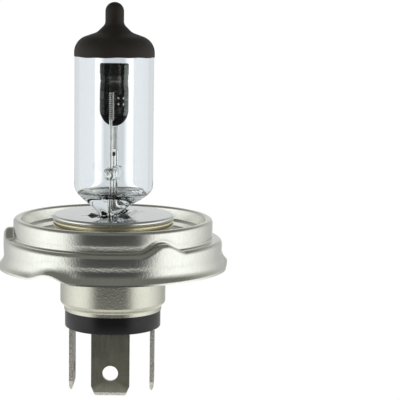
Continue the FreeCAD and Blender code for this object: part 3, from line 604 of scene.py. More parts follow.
def feature_share(azimuth, places):
    """How far a pressed feature has risen at an azimuth: 0 outside it, 1 on its top."""
    apart = min(abs((azimuth - place + 180) % 360 - 180) for place in places)
    slope = FEATURE_HALF_ANGLE - FEATURE_FLAT_HALF_ANGLE
    return smooth_step((FEATURE_HALF_ANGLE - apart) / slope)


def key_share(azimuth):
    """1 inside the key groove at the back, 0 outside, with steep walls."""
    apart = abs((azimuth - KEY_AZIMUTH + 180) % 360 - 180)
    across = radians(apart) * DRUM_RADIUS
    return smooth_step((KEY_HALF_WIDTH + KEY_WALL / 2 - across) / KEY_WALL)


def flange_section(azimuth):
    """Closed section of the flange sheet at an azimuth in degrees."""
    lift = SHOULDER_LIFT * feature_share(azimuth, BUMP_AZIMUTHS)
    rise = RIM_LIFT * feature_share(azimuth, DENT_AZIMUTHS)
    key = key_share(azimuth)
    drum = DRUM_RADIUS + (KEY_FLOOR_RADIUS - DRUM_RADIUS) * key
    rim = RIM_RADIUS + (KEY_FLOOR_RADIUS + 0.35 - RIM_RADIUS) * key
    tight = 1 - 0.75 * key
    corners = [
        (rim, FLANGE_LOW.z + rise), (rim, RIM_Z + rise),
        (drum - DRAW_IN, FLARE_TOP_Z + rise), (drum, FLARE_TOP_Z + 1.9 + rise * 0.7),
        (drum, SHOULDER_Z + lift), (STEP_RADIUS - DRAW_IN, SHOULDER_Z + lift),
        (STEP_RADIUS, SHOULDER_Z + 1.5 + lift * 0.7), (STEP_RADIUS, FLANGE_HIGH.z),
        (FOLD_RADIUS, FLANGE_HIGH.z), (LEDGE_OUTER_RADIUS, LEDGE_Z),
        (LEDGE_INNER_RADIUS, LEDGE_Z - 0.15), (FLOOR_RADIUS, FLOOR_Z),
        (COLLAR_RADIUS, FLOOR_Z), (COLLAR_RADIUS, COLLAR_TOP_Z),
    ]
    radii = [0.6, FLARE_ROUND * tight, 6.0, SHOULDER_ROUND * tight, 0.4 * tight, 6.0,
             0.8, 0.62, 0.4, 0.56, 0.3, 0.4]
    return sheet_section(corners, radii, SHEET)


def make_flange():
    segments = 900
    points = []
    for azimuth in (360 * segment / segments for segment in range(segments)):
        points += [around(r, radians(azimuth), z) for r, z in flange_section(azimuth)]
    faces = grid_faces(segments, len(points) // segments, wrap_rows=True)
    mesh_object("flange_ring", "locating_flange", (points, faces), NICKEL, sharp=50)


# ---------- base shell and insulator

SHELL_RADIUS = 10.9
SHELL_SHEET = 0.4
LIP_RADIUS = 10.1
INSULATOR_RADIUS = 9.93
RECESS_RADIUS = 9.3
SEAT_Z = node_box("terminal_dipped_beam")[1].z
BLADE_WIDTH = 7.8
BLADE_SHEET = 0.8
FRONT_BLADE = 8.3
SIDE_BLADE = 8.3
SIDE_Y = -1.05
SLOT_CLEARANCE = 0.08


def make_base_shell():
    low, high = node_box("base_shell")
    corners = [
        (LIP_RADIUS, low.z), (LIP_RADIUS, low.z + 0.8),
        (SHELL_RADIUS, low.z + 1.6), (SHELL_RADIUS, high.z),
    ]
    section = sheet_section(corners, [0.3, 0.9], SHELL_SHEET)
    shape = lathe_mesh(section, 256, closed=True)
    mesh_object("base_sleeve", "base_shell", shape, SHELL_NICKEL, sharp=50)


def make_insulator():
    low, high = node_box("insulator")
    shell_low = node_box("base_shell")[0].z
    groove = LIP_RADIUS - SHELL_SHEET - 0.05
    inside = SHELL_RADIUS - SHELL_SHEET - 0.1
    corners = [
        (0, SEAT_Z), (RECESS_RADIUS, SEAT_Z),
        (RECESS_RADIUS, low.z), (INSULATOR_RADIUS, low.z),
        (INSULATOR_RADIUS, shell_low - 0.02), (groove, shell_low - 0.02),
        (groove, shell_low + 0.8), (inside, shell_low + 2.0),
        (inside, high.z), (inside - 1.3, high.z),
        (inside - 1.3, high.z - 4.0), (0, high.z - 4.0),
    ]
    radii = [0.15, 0.08, 0.25, 0.08, 0.05, 0.05, 0.2, 0.2, 0.2, 0.3]
    shape = lathe_mesh(rounded_path(corners, radii, 5), 192)
    piece = mesh_object("insulator_disc", "insulator", shape, PLASTIC)
    inner_reach = BLADE_SHEET / 2 + SLOT_CLEARANCE
    outer_reach = BLADE_SHEET / 2 - 2 * SLOT_CLEARANCE
    half_width = BLADE_WIDTH / 2 + SLOT_CLEARANCE
    across = (SIDE_Y - half_width, SIDE_Y + half_width)
    slots = [
        ((-half_width, half_width), (-FRONT_BLADE - outer_reach, -FRONT_BLADE + inner_reach)),
        ((-SIDE_BLADE - outer_reach, -SIDE_BLADE + inner_reach), across),
        ((SIDE_BLADE - inner_reach, SIDE_BLADE + outer_reach), across),
    ]
    boolean_cut(piece, slots, (low.z - 1, SEAT_Z), 0)


# ---------- blades, rivets, solder

BEND_MID_RADIUS = 0.75
BEND_ARC = pi / 2 * BEND_MID_RADIUS
FOOT_Z = SEAT_Z - BLADE_SHEET / 2
BLADE_END_Z = node_box("terminal_dipped_beam")[0].z
FRONT_RIVET = 6.1
SIDE_RIVET = 5.3
RIVET_PLACES = ((0, -FRONT_RIVET), (SIDE_RIVET, SIDE_Y), (-SIDE_RIVET, SIDE_Y))
RIVET_RADIUS = 1.05
RIVET_BORE = 0.65
RIVET_HEAD_RADIUS = 1.42
RIVET_HEAD = 0.35
SOLDER_RADIUS = 0.63
HOLE_RADIUS = 1.6
HOLE_ABOVE_END = 4.6
TAB_HALF_WIDTH = 2.45
TAB_REACH = 2.3
BEVEL_HEIGHT = 0.65
BEVEL_END_SHARE = 0.38


def blade_outline(straight, foot_length):
    """Outline of the flat strip: across it in x, from its free end along it in y."""
    half = BLADE_WIDTH / 2
    foot = straight + BEND_ARC
    shoulder = foot + 0.85
    tab_end = foot + foot_length
    right = [
        (0, 0), (half - 0.8, 0),
        (half, 1.9), (half, shoulder),
        (3.0, shoulder + 0.15), (TAB_HALF_WIDTH, shoulder + 0.9),
        (TAB_HALF_WIDTH, tab_end), (0, tab_end),
    ]
    points = rounded_path(right, [0.1, 0.3, 0.15, 0.45, 0.3, 0.75], 5)
    left = [Vector((-p.x, p.y)) for p in reversed(points[1:-1])]
    return points + left


def circle(radius, height, count):
    """Points of a circle round (0, height)."""
    turns = (2 * pi * step / count for step in range(count))
    return [Vector((radius * cos(turn), height + radius * sin(turn))) for turn in turns]


def bent_point(across, along, normal, offset, straight):
    """Place of a strip point once the strip is bent: blade at -Y, foot towards the axis."""
    bend_y = -offset + BEND_MID_RADIUS
    bend_z = FOOT_Z - BEND_MID_RADIUS
    if along <= straight:
        return (across, -offset - normal, BLADE_END_Z + along)
    if along >= straight + BEND_ARC:
        return (across, bend_y + along - straight - BEND_ARC, FOOT_Z + normal)
    angle = (along - straight) / BEND_MID_RADIUS
    reach = BEND_MID_RADIUS + normal
    return (across, bend_y - reach * cos(angle), bend_z + reach * sin(angle))


def make_terminal(name, node, offset, rivet, turn, shift):
    """Blade, bend and foot cut from one strip, with bevelled end and softened edges."""
    straight = FOOT_Z - BEND_MID_RADIUS - BLADE_END_Z
    rivet_reach = offset - BEND_MID_RADIUS - rivet
    rivet_along = straight + BEND_ARC + rivet_reach
    loops = [
        blade_outline(straight, rivet_reach + TAB_REACH),
        circle(HOLE_RADIUS, HOLE_ABOVE_END, 40),
        circle(RIVET_RADIUS + 0.02, rivet_along, 40),
    ]
    work = bmesh.new()
    for loop in loops:
        verts = [work.verts.new((p.x, p.y, 0)) for p in loop]
        for first, second in zip(verts, verts[1:] + verts[:1]):
            work.edges.new((first, second))
    ops.triangle_fill(work, use_beauty=True, use_dissolve=False, edges=work.edges[:])
    cuts = [BEVEL_HEIGHT] + [straight + BEND_ARC * step / 10 for step in range(11)]
    for cut in cuts:
        everything = work.verts[:] + work.edges[:] + work.faces[:]
        ops.bisect_plane(work, geom=everything, plane_co=(0, cut, 0), plane_no=(0, 1, 0))
    ops.recalc_face_normals(work, faces=work.faces)
    work.verts.index_update()
    count = len(work.verts)
    flat = [v.co.copy() for v in work.verts]
    points = []
    for side in (1, -1):
        for co in flat:
            thin = BEVEL_END_SHARE + (1 - BEVEL_END_SHARE) * smooth_step(co.y / BEVEL_HEIGHT)
            normal = side * BLADE_SHEET / 2 * thin
            points.append(bent_point(co.x, co.y, normal, offset, straight))
    faces = []
    for face in work.faces:
        indices = [v.index for v in face.verts]
        faces.append(indices)
        faces.append([i + count for i in reversed(indices)])
    for edge in work.edges:
        if len(edge.link_faces) == 1:
            a, b = (v.index for v in edge.verts)
            faces.append([a, b, b + count, a + count])
    work.free()
    turned = Matrix.Rotation(radians(turn), 4, "Z")
    points = [turned @ Vector(p) + Vector((0, shift, 0)) for p in points]
    piece = mesh_object(name, node, (points, faces), BLADE, sharp=30)
    piece.data.materials.append(CUT_EDGE)
    mark_cut_edges(piece, BLADE_SHEET * MM)
    bevel = piece.modifiers.new("soft_edges", "BEVEL")
    bevel.width = 0.05 * MM
    bevel.segments = 2
    bevel.limit_method = "ANGLE"
    bevel.angle_limit = radians(35)


def mark_cut_edges(piece, thickness):
    """Gives the end's bevels and the faces across the sheet's thickness the cut-edge material."""
    bevel_top = (BLADE_END_Z + BEVEL_HEIGHT + 0.02) * MM - PLANE.z
    places = [vertex.co for vertex in piece.data.vertices]
    for polygon in piece.data.polygons:
        lengths = [(places[a] - places[b]).length for a, b in polygon.edge_keys]
        crossing = [length for length in lengths if abs(length - thickness) < thickness * 0.02]
        sheared = len(polygon.vertices) == 4 and len(crossing) >= 2
        bevelled = all(places[i].z < bevel_top for i in polygon.vertices)
        if sheared or bevelled:
            polygon.material_index = 1


def make_rivets():
    low, high = node_box("terminal_rivets")
    foot_low = FOOT_Z - BLADE_SHEET / 2
    corners = [
        (RIVET_BORE, high.z), (RIVET_BORE, low.z + 0.28),
        (0.92, low.z), (RIVET_HEAD_RADIUS, low.z + 0.12),
        (RIVET_HEAD_RADIUS, foot_low), (RIVET_RADIUS, foot_low),
        (RIVET_RADIUS, high.z - RIVET_HEAD), (RIVET_HEAD_RADIUS, high.z - RIVET_HEAD),
        (RIVET_HEAD_RADIUS, high.z),
    ]
    profile = rounded_path(corners, [0.25, 0.2, 0.12, 0.02, 0.02, 0.02, 0.1], 5)
    parts = [lathe_mesh(profile, 48, closed=True, centre=place) for place in RIVET_PLACES]
    mesh_object("rivets", "terminal_rivets", joined(parts), RIVET)


def make_solder():
    low = node_box("solder_joints")[0].z
    parts = []
    for place in RIVET_PLACES:
        profile = [(0, low + 0.02)]
        for step in range(1, 9):
            angle = pi / 2 * step / 8
            rise = 0.42 * (1 - cos(angle))
            profile.append((SOLDER_RADIUS * sin(angle), low + 0.02 + rise))
        profile += [(SOLDER_RADIUS, low + 0.65), (0, low + 0.65)]
        points, faces = lathe_mesh(profile, 32, centre=place)
        rough = []
        for x, y, z in points:
            swell = abs(0.05 * sin(9 * x + place[1]) * cos(8 * y + place[0]))
            rough.append((x, y, z + swell if z < low + 0.6 else z))
        parts.append((rough, faces))
    mesh_object("solder", "solder_joints", joined(parts), SOLDER, sharp=60)


def make_terminals():
    make_terminal("blade_dipped", "terminal_dipped_beam", FRONT_BLADE, FRONT_RIVET, 0, 0)
    make_terminal("blade_main", "terminal_main_beam", SIDE_BLADE, SIDE_RIVET, 90, SIDE_Y)
    make_terminal("blade_earth", "terminal_earth", SIDE_BLADE, SIDE_RIVET, -90, SIDE_Y)


# ---------- cap plate

CAP_RADIUS = 12.5
CAP_WAIST_RADIUS = 11.7
CAP_WAIST_TOP_Z = 9.6
CAP_SHEET = 0.4
CAP_TOP_Z = 11.0
TONGUE_HALF_WIDTH = 3.9
TONGUE_ROOT_X = 4.9
SLIT_WIDTH = 0.22
SLIT_START_X = 4.3
SLIT_END_X = 5.8
OPENING_HALF_WIDTH = 2.0
OPENING_HALF_LENGTH = 6.35


def tongue_mesh(side):
    """Humped tongue that presses on one face of the pinch."""
    corners = [
        (TONGUE_ROOT_X + 0.02, CAP_TOP_Z), (TONGUE_ROOT_X - 0.4, CAP_TOP_Z),
        (3.7, CAP_TOP_Z + 0.62), (2.35, CAP_TOP_Z + 0.2),
        (1.75, CAP_TOP_Z - 1.3),
    ]
    section = sheet_section(corners, [0.45, 0.5, 0.6], CAP_SHEET)
    count = 12
    points = []
    for step in range(count + 1):
        y = TONGUE_HALF_WIDTH * (2 * step / count - 1)
        points += [(side * x, y, z) for x, z in section]
    faces = grid_faces(count + 1, len(section))
    first = list(range(len(section)))
    last = [index + count * len(section) for index in first]
    half = len(section) // 2
    for ring in (first, last):
        for index in range(half - 1):
            faces.append((ring[index], ring[index + 1], ring[-index - 2], ring[-index - 1]))
    return points, faces


def make_cap_plate():
    high_radius = node_box("cap_plate")[1].x
    corners = [
        (high_radius, FLOOR_Z + CAP_SHEET), (CAP_WAIST_RADIUS, FLOOR_Z + CAP_SHEET),
        (CAP_WAIST_RADIUS + 0.1, CAP_WAIST_TOP_Z - 1.3),
        (CAP_RADIUS - 0.15, CAP_WAIST_TOP_Z - 1.0), (CAP_RADIUS - 0.15, CAP_WAIST_TOP_Z + 0.1),
        (CAP_RADIUS - 0.3, CAP_WAIST_TOP_Z + 0.2), (CAP_RADIUS, CAP_WAIST_TOP_Z + 0.34),
        (CAP_RADIUS, CAP_TOP_Z), (0, CAP_TOP_Z),
    ]
    section = sheet_section(corners, [0.5, 0.3, 0.35, 0.3, 0.05, 0.3, 0.6], CAP_SHEET, 12)
    plate = mesh_object("cap_disc", "cap_plate", lathe_mesh(section, 256, closed=True), BRIGHT)
    slit = TONGUE_HALF_WIDTH + SLIT_WIDTH
    boxes = [
        ((-OPENING_HALF_WIDTH, OPENING_HALF_WIDTH), (-OPENING_HALF_LENGTH, OPENING_HALF_LENGTH)),
        ((-TONGUE_ROOT_X, TONGUE_ROOT_X), (-slit, slit)),
    ]
    for xs in ((-SLIT_END_X, -SLIT_START_X), (SLIT_START_X, SLIT_END_X)):
        for ys in ((-slit, -TONGUE_HALF_WIDTH), (TONGUE_HALF_WIDTH, slit)):
            boxes.append((xs, ys))
    boolean_cut(plate, boxes, (CAP_TOP_Z - 2, CAP_TOP_Z + 2), BURNER_YAW)
    tongues = joined([tongue_mesh(-1), tongue_mesh(1)])
    mesh_object("cap_tongues", None, tongues, BRIGHT, yaw=BURNER_YAW)


# ---------- glass

TUBE_RADIUS = 8.1
BORE_RADIUS = 7.0
TIP_RADIUS = 1.8
NECK_TOP_Z = 17.0
NECK_BOTTOM_Z = 11.0
BORE_TOP_Z = 47.5
BORE_BEND_Z = 17.7
BORE_END_Z = 15.1
PINCH_HALF_THICKNESS = 1.7
PINCH_HALF_WIDTH = 6.0
COATING_EDGE_Z = node_box("antiglare_coating")[0].z
COATING_THICKNESS = 0.1


def section_radius(half_x, half_y, exponent, azimuth):
    """Radius of a superellipse in the direction of an azimuth in radians."""
    x_share = abs(sin(azimuth)) / half_x
    y_share = abs(cos(azimuth)) / half_y
    return (x_share ** exponent + y_share ** exponent) ** (-1 / exponent)


def neck_rows(count):
    """Rows (half x, half y, exponent, z) from the round tube down to the flat pinch."""
    rows = []
    for index in range(count + 1):
        fraction = index / count
        share = smooth_step(fraction ** 1.2)
        rows.append((
            TUBE_RADIUS + (PINCH_HALF_THICKNESS - TUBE_RADIUS) * share,
            TUBE_RADIUS + (PINCH_HALF_WIDTH - TUBE_RADIUS) * share,
            2 + 4 * fraction ** 3,
            NECK_TOP_Z + (NECK_BOTTOM_Z - NECK_TOP_Z) * fraction,
        ))
    return rows


def bore_end_rows(count):
    """Flat-bottomed lower end of the gas space, with the ripples of hot-worked glass."""
    rows = []
    for index in range(1, count + 1):
        angle = pi / 2 * index / count
        radius = BORE_RADIUS * sqrt(max(cos(angle), 0.0))
        drop = (BORE_BEND_Z - BORE_END_Z) * sqrt(sin(angle))
        ripple = 0.10 * sin(2 * pi * radius / 1.7)
        radius = max(radius, 0.01)
        rows.append((radius, radius, 2.0, BORE_BEND_Z - drop + ripple))
    return rows


def rows_mesh(rows, segments):
    """Surface through rows of superellipses, from the first row to the last."""
    points = []
    for *section, z in rows:
        for azimuth in (2 * pi * segment / segments for segment in range(segments)):
            points.append(around(section_radius(*section, azimuth), azimuth, z))
    return points, grid_faces(len(rows), segments)


def dome_path(top_z):
    """Outer profile of the glass from the top of its tip down to the coating's edge."""
    corners = [
        (0.0, top_z), (TIP_RADIUS, top_z),
        (TIP_RADIUS, 49.8), (3.5, 48.1),
        (TUBE_RADIUS, 46.5), (TUBE_RADIUS, COATING_EDGE_Z),
    ]
    return rounded_path(corners, [TIP_RADIUS - 0.01, 1.5, 2.6, 3.4], 14)


def pole_rows(profile):
    return [(max(r, 0.001), max(r, 0.001), 2.0, z) for r, z in profile]


def make_envelope():
    low, high = node_box("quartz_envelope")
    segments = 192
    outer = pole_rows(dome_path(high.z))
    tube_length = COATING_EDGE_Z - NECK_TOP_Z - 0.2
    outer += [(TUBE_RADIUS, TUBE_RADIUS, 2.0, COATING_EDGE_Z - tube_length * k / 12)
              for k in range(1, 13)]
    outer += neck_rows(30)
    for inset, exponent, z in ((0, 7.0, 10.8), (0, 8.0, 9.5), (0, 8.0, low.z + 0.5),
                               (0.15, 8.0, low.z + 0.12)):
        outer.append((PINCH_HALF_THICKNESS - inset, PINCH_HALF_WIDTH - inset, exponent, z))
    outer += [(1.35, 5.6, 8.0, low.z), (0.01, 0.01, 2.0, low.z)]
    bore = [(0.0, BORE_TOP_Z), (BORE_RADIUS, 45.6), (BORE_RADIUS, BORE_BEND_Z + 0.1)]
    inner = pole_rows(rounded_path(bore, [2.6], 14)) + bore_end_rows(40)
    inner_points, inner_faces = rows_mesh(inner, segments)
    inner_faces = [tuple(reversed(face)) for face in inner_faces]
    shape = joined([rows_mesh(outer, segments), (inner_points, inner_faces)])
    mesh_object("glass_envelope", "quartz_envelope", shape, QUARTZ,
                yaw=BURNER_YAW, keep_winding=True)


def coating_edge(azimuth):
    """Height of the dipped edge of the coating: slightly wavy."""
    return 0.07 * sin(3 * azimuth + 0.6) + 0.04 * sin(11 * azimuth) + 0.11


def make_coating():
    high = node_box("antiglare_coating")[1].z
    skin = dome_path(high - COATING_THICKNESS)
    outer = offset_path(skin, COATING_THICKNESS)
    outer[0].x = 0.0
    segments = 192
    rows = [tuple(p) for p in outer] + [(TUBE_RADIUS, COATING_EDGE_Z)]
    rows += [tuple(p) for p in reversed(skin[:-1])]
    points = []
    for radius, z in rows:
        for azimuth in (2 * pi * segment / segments for segment in range(segments)):
            lift = coating_edge(azimuth) * smooth_step((COATING_EDGE_Z + 1.2 - z) / 1.2)
            points.append(around(radius, azimuth, z + lift))
    faces = grid_faces(len(rows), segments)
    mesh_object("antiglare_paint", "antiglare_coating", (points, faces), COATING, sharp=60)


# ---------- burner metalwork

LEAD_SPACING = 2.6
LEAD_RADIUS = 0.3
FOIL_TOP_Z = 9.8
COIL_RADIUS = 0.54
COIL_PITCH = 0.42
COIL_WIRE_RADIUS = 0.1
MAIN_COIL_Z = 24.3
DIPPED_COIL_Z = 30.7
DIPPED_X = -0.25
DIPPED_Y = -1.0
MAIN_Y = 0.9
SHIELD_DEPTH = 3.1
SHIELD_HALF_WIDTH = 2.95
SHIELD_BOWL_Z = 32.6
SHIELD_TOP_Z = node_box("shield_cup")[1].z
SHIELD_BOTTOM_Z = node_box("shield_cup")[0].z
SHIELD_SHEET = 0.22
WELD_RADIUS = 0.38
BRIDGE_HALF_THICKNESS = 1.7
BRIDGE_HALF_LENGTH = 4.4


def wire_object(name, node, path, radius, sides, material):
    mesh_object(name, node, tube_mesh(path, radius, sides), material, sharp=60, yaw=BURNER_YAW)


def make_lead(name, node, corners, radii):
    wire_object(name, node, rounded_path(corners, radii), LEAD_RADIUS, 20, MOLYBDENUM)


def make_leads():
    start = FOIL_TOP_Z + LEAD_RADIUS
    make_lead("support_wire_dipped", "dipped_lead", [
        (0, -LEAD_SPACING, start), (0, -LEAD_SPACING, 28.6), (DIPPED_X, -1.9, 30.6),
    ], [0.5])
    make_lead("support_wire_main", "main_lead", [(0, 0, start), (0, 0, 22.9)], [])
    behind = SHIELD_DEPTH + LEAD_RADIUS + 0.01
    make_lead("support_wire_common", "common_lead", [
        (0, LEAD_SPACING, start), (0, LEAD_SPACING, SHIELD_BOTTOM_Z - 1.5),
        (0, behind, SHIELD_BOTTOM_Z + 1), (0, behind, SHIELD_BOWL_Z + 4.2),
    ], [0.8, 0.8])


def coil_path(centre_x, centre_y, bottom, turns, lower_end, upper_end):
    """Centre line of a filament: straight tails joined smoothly to the coil."""
    steps = 22
    path = [Vector(lower_end)]
    for index in range(turns * steps + 1):
        angle = 2 * pi * index / steps
        path.append(Vector((
            centre_x + COIL_RADIUS * cos(angle),
            centre_y + COIL_RADIUS * sin(angle),
            bottom + COIL_PITCH * index / steps,
        )))
    path.append(Vector(upper_end))
    return path


def make_filament(name, node, *coil):
    wire_object(name, node, coil_path(*coil), COIL_WIRE_RADIUS, 10, TUNGSTEN)


def make_filaments():
    make_filament("coil_main", "main_beam_filament",
                  0, MAIN_Y, MAIN_COIL_Z, 11, (0.12, 0.1, 23.45), (0.2, MAIN_Y, 29.34))
    make_filament("coil_dipped", "dipped_beam_filament", DIPPED_X, DIPPED_Y, DIPPED_COIL_Z, 13,
                  (-0.2, DIPPED_Y - 0.62, 30.35), (0.75, 2.15, 36.2))
    turns = [pi * step / 10 for step in range(1, 10)]
    side = [(0.4 * sin(turn), 23.42 - 0.46 * cos(turn)) for turn in turns]
    profile = [(0.0, 22.95), *side, (0.0, 23.86)]
    mesh_object("weld_sleeve", "filament_weld", lathe_mesh(profile, 32), SHIELD_METAL,
                yaw=BURNER_YAW)


def shield_scale(z):
    """Width of the cup at a height as a share of its full width, with pressed bands."""
    if z < SHIELD_BOWL_Z:
        drop = (SHIELD_BOWL_Z - z) / (SHIELD_BOWL_Z - SHIELD_BOTTOM_Z)
        return sqrt(max(0.0, 1 - drop * drop))
    band = smooth_step((z - 39.6) / 0.25)
    groove = exp(-((z - 38.4) / 0.22) ** 2)
    return 1.0 - 0.03 * (1 - band) * smooth_step((z - 36.5) / 1.0) - 0.03 * groove


def shield_skin(inset):
    """Rows of points of the scoop, from its lower tip to its flat roof."""
    rows = []
    bowl = SHIELD_BOWL_Z - SHIELD_BOTTOM_Z
    wall = SHIELD_TOP_Z - 0.25 - SHIELD_BOWL_Z
    levels = [SHIELD_BOTTOM_Z + bowl * (1 - cos(pi / 2 * k / 16)) for k in range(17)]
    levels += [SHIELD_BOWL_Z + wall * k / 46 for k in range(1, 47)]
    columns = 48
    for z in levels:
        scale = shield_scale(z)
        half_width = max(SHIELD_HALF_WIDTH * scale - inset, 0.02)
        depth = max(SHIELD_DEPTH * scale - inset, 0.02)
        height = z + inset if z < SHIELD_BOWL_Z - 1.5 else z
        rows.append((half_width, depth, min(height, SHIELD_TOP_Z)))
    for share, drop in ((0.985, 0.08), (0.95, 0.0), (0.6, 0.0), (0.25, 0.0), (0.01, 0.0)):
        rows.append(((SHIELD_HALF_WIDTH - inset) * share, (SHIELD_DEPTH - inset) * share,
                     SHIELD_TOP_Z - drop - inset))
    points = []
    for half_width, depth, z in rows:
        for column in range(columns + 1):
            angle = pi * (column / columns) - pi / 2
            points.append((half_width * sin(angle), depth * cos(angle) - 0.1, z))
    return points, len(rows), columns + 1


def make_shield():
    outer, rows, columns = shield_skin(0.0)
    inner, _, _ = shield_skin(SHIELD_SHEET)
    faces = grid_faces(rows, columns, wrap_columns=False)
    base = len(outer)
    faces += [tuple(index + base for index in reversed(face)) for face in faces[:]]
    for row in range(rows - 1):
        for column in (0, columns - 1):
            a = row * columns + column
            b = (row + 1) * columns + column
            faces.append((a, b, b + base, a + base))
    mesh_object("shield_scoop", "shield_cup", (outer + inner, faces), SHIELD_METAL,
                sharp=50, yaw=BURNER_YAW)


def make_welds():
    """Four raised spot welds on the strap, near-white as a painted highlight, and bright where
    their domes catch the light.
    """
    low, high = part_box("strap_welds")
    turn_back = Matrix.Rotation(-BURNER_YAW, 4, "Z")
    start = turn_back @ Vector((low.x, high.y, 0)) / MM
    end = turn_back @ Vector((high.x, low.y, 0)) / MM
    low_z, high_z = (corner.z for corner in node_box("strap_welds"))
    turns = [pi * step / 9 for step in range(10)]
    profile = [(WELD_RADIUS * sin(turn), -WELD_RADIUS * cos(turn)) for turn in turns]
    ball, faces = lathe_mesh(profile, 24)
    parts = []
    for share in (0.12, 0.88):
        place = start.lerp(end, share)
        for height in (low_z + WELD_RADIUS, high_z - WELD_RADIUS):
            points = [(place.x + x, place.y + y * 0.7, height + z) for x, y, z in ball]
            parts.append((points, faces))
    mesh_object("spot_welds", "strap_welds", joined(parts), WELD_PAINTED_HIGHLIGHT,
                sharp=80, yaw=BURNER_YAW)


def make_shield_flanges():
    """Narrow turned-out edges of the scoop's opening, in a lighter copy of the scoop's metal: a
    painted highlight.
    """
    parts = []
    for side in (-1, 1):
        points = []
        length = SHIELD_TOP_Z - SHIELD_BOWL_Z + 1.0
        levels = [SHIELD_BOWL_Z - 1.2 + length * k / 40 for k in range(41)]
        for z in levels:
            edge = SHIELD_HALF_WIDTH * shield_scale(z)
            ring = [(-0.85, -0.12), (0.02, -0.26), (0.04, -0.12), (-0.80, 0.02)]
            points += [(side * (edge + x), y, z) for x, y in ring]
        faces = grid_faces(len(levels), 4)
        last = 4 * (len(levels) - 1)
        faces += [(0, 1, 2, 3), (last, last + 1, last + 2, last + 3)]
        parts.append((points, faces))
    mesh_object("shield_flanges", None, joined(parts), SHIELD_RIM_PAINTED_HIGHLIGHT, yaw=BURNER_YAW)


def make_bridge():
    """Pressed quartz bar with a swelling round each support wire."""
    low, high = node_box("quartz_bridge")
    middle = (low.z + high.z) / 2
    half_height = (high.z - low.z) / 2
    rows, segments = 60, 48
    points = []
    for row in range(rows + 1):
        share = -cos(pi * row / rows)
        y = BRIDGE_HALF_LENGTH * share
        end = sqrt(max(0.0, 1 - abs(share) ** 3.2))
        swell = 0.90 + 0.10 * cos(2 * pi * y / LEAD_SPACING)
        half_x = BRIDGE_HALF_THICKNESS * swell
        half_z = half_height * (0.93 + 0.07 * swell)
        for segment in range(segments):
            angle = 2 * pi * segment / segments
            radius = section_radius(half_x, half_z, 2.6, angle + pi / 2)
            radius *= max(end, 0.002)
            points.append((radius * cos(angle), y, middle + radius * sin(angle)))
    faces = grid_faces(rows + 1, segments)
    mesh_object("bridge_bead", "quartz_bridge", (points, faces), BRIDGE_QUARTZ,
                sharp=80, yaw=BURNER_YAW)


def paint_kept_nodes():
    """CAD nodes whose shape is right as it is get a finished material."""
    leads = ("dipped_outer_lead", "main_outer_lead", "common_outer_lead")
    looks = (
        (MOLYBDENUM, ("dipped_foil", "main_foil", "common_foil", *leads)),
        (SHELL_NICKEL, ("pinch_clamp",)), (SHIELD_METAL, ("shield_strap",)),
    )
    for material, nodes in looks:
        for node in nodes:
            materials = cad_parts[node].data.materials
            materials.clear()
            materials.append(material)


# ---------- stage, light, camera

CAMERA_AZIMUTH = radians(3.0)
CAMERA_DISTANCE = 0.299
CAMERA_HEIGHT = 0.0563
AIM_HEIGHT = 0.01396
AIM_SIDE = 0.01784
CAMERA_ROLL = radians(0.85)
LENS = 131.7
SURROUND_TURN = radians(3)
FLOOR_DISC_RADIUS = 0.2
FLOOR_GLOW = 1.05
FLOOR_GLOW_SHARE = 0.94


def make_floor():
    """Pale floor disc under the blades, evenly lit, with only a faint shadow."""
    work = bmesh.new()
    work.faces.new([work.verts.new((x, y, cad_low.z)) for x, y in circle(FLOOR_DISC_RADIUS, 0, 96)])
    floor = object_from("floor", work)
    s = Shader("floor_paper")
    fibres = s.noise(900, detail=3)
    tone = s.ramp(fibres, [(0.3, (0.93, 0.93, 0.93)), (0.7, (0.97, 0.97, 0.97))])
    paper = s.node("BsdfDiffuse", {0: tone})
    glow = s.node("Emission", {1: FLOOR_GLOW})
    floor.data.materials.append(s.mix_surface(FLOOR_GLOW_SHARE, paper, glow))
    floor.visible_glossy = False
    floor.visible_transmission = False


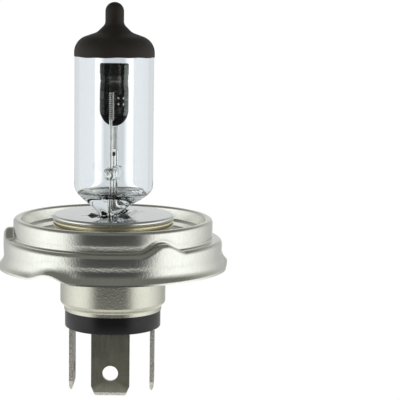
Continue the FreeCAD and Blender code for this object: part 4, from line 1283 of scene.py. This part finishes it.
def make_world():
    """Soft studio surround: white to the camera, two soft boxes and a dark gap to metal."""
    world = bpy.data.worlds.new("studio")
    bpy.context.scene.world = world
    world.use_nodes = True
    s = Shader(tree=world.node_tree)
    turned = s.node("VectorRotate", {
        "Vector": s.node("TexCoord", output="Generated"), "Angle": -CAMERA_AZIMUTH,
    }, rotation_type="Z_AXIS")
    height = s.axis(turned, 2)
    front = s.math("MULTIPLY", s.axis(turned, 1), -1.0)
    azimuth = s.math("ARCTAN2", s.axis(turned, 0), front)
    apart = s.math("ABSOLUTE", s.math("ADD", azimuth, SURROUND_TURN))
    levels = [
        (0, 0.08), (30, 0.10), (38, 0.32), (46, 0.9), (56, 1.4), (80, 1.5),
        (104, 1.2), (120, 0.95), (140, 0.66), (158, 0.56), (172, 0.76),
    ]
    peak = 1.6
    stops = [(angle / 180, (level / peak,) * 3) for angle, level in levels]
    ring = s.ramp(s.math("DIVIDE", apart, pi), stops)
    ring = s.mix_colour(s.remap(height, 0.3, 0.72, 0.0, 1.0), ring, (0.13, 0.13, 0.12))
    ring = s.mix_colour(s.remap(height, -0.40, -0.27, 1.0, 0.0), ring, (0.62, 0.615, 0.59))
    surround = s.vector("MULTIPLY", ring, (peak, peak, peak * 0.985))
    behind = s.math("DIVIDE", s.math("ABSOLUTE", azimuth), pi)
    pale, white = (0.71, 0.745, 0.765), (1.08, 1.09, 1.09)
    bands = [(0.10, pale), (0.22, white), (0.50, white), (0.66, pale)]
    backdrop = s.ramp(s.remap(behind, 0.97, 1.0, 0.0, 1.0), bands)
    aside = s.remap(behind, 0.84, 0.70, 0.0, 1.0)
    steep = s.remap(s.math("ABSOLUTE", height), 0.35, 0.55, 0.0, 1.0)
    backdrop = s.mix_colour(s.math("MAXIMUM", aside, steep), backdrop, surround)
    bent = s.node("LightPath", output="Is Transmission Ray")
    direct = s.node("LightPath", output="Is Camera Ray")
    seen = s.mix_colour(bent, surround, backdrop)
    seen = s.mix_colour(direct, seen, (1.02, 1.02, 1.02))
    s.feed(world.node_tree.nodes["Background"].inputs["Color"], seen)


def make_camera():
    camera = placed("camera", bpy.data.cameras.new("camera"))
    side = Vector((cos(CAMERA_AZIMUTH), sin(CAMERA_AZIMUTH), 0))
    out = Vector((sin(CAMERA_AZIMUTH), -cos(CAMERA_AZIMUTH), 0))
    camera.location = out * CAMERA_DISTANCE + Vector((0, 0, CAMERA_HEIGHT)) - PLANE
    aim = side * AIM_SIDE + Vector((0, 0, AIM_HEIGHT)) - PLANE
    look = (aim - camera.location).to_track_quat("-Z", "Y")
    roll = Matrix.Rotation(CAMERA_ROLL, 4, "Z").to_quaternion()
    camera.rotation_mode = "QUATERNION"
    camera.rotation_quaternion = look @ roll
    camera.data.lens = LENS
    camera.data.sensor_width = 36
    camera.data.clip_start = 0.01
    camera.data.clip_end = 10
    bpy.context.scene.camera = camera


def set_render_look():
    bpy.context.scene.view_settings.view_transform = "Standard"
    bpy.context.scene.view_settings.look = "None"
    cycles = bpy.context.scene.cycles
    cycles.max_bounces = 24
    cycles.transmission_bounces = 20
    cycles.glossy_bounces = 8
    cycles.transparent_max_bounces = 24
    cycles.use_denoising = True


for step in (
    make_flange, make_base_shell, make_insulator, make_terminals, make_rivets, make_solder,
    make_cap_plate, make_envelope, make_coating, make_leads, make_filaments, make_shield,
    make_shield_flanges, make_welds, make_bridge, paint_kept_nodes, make_floor, make_world,
    make_camera, set_render_look,
):
    step()
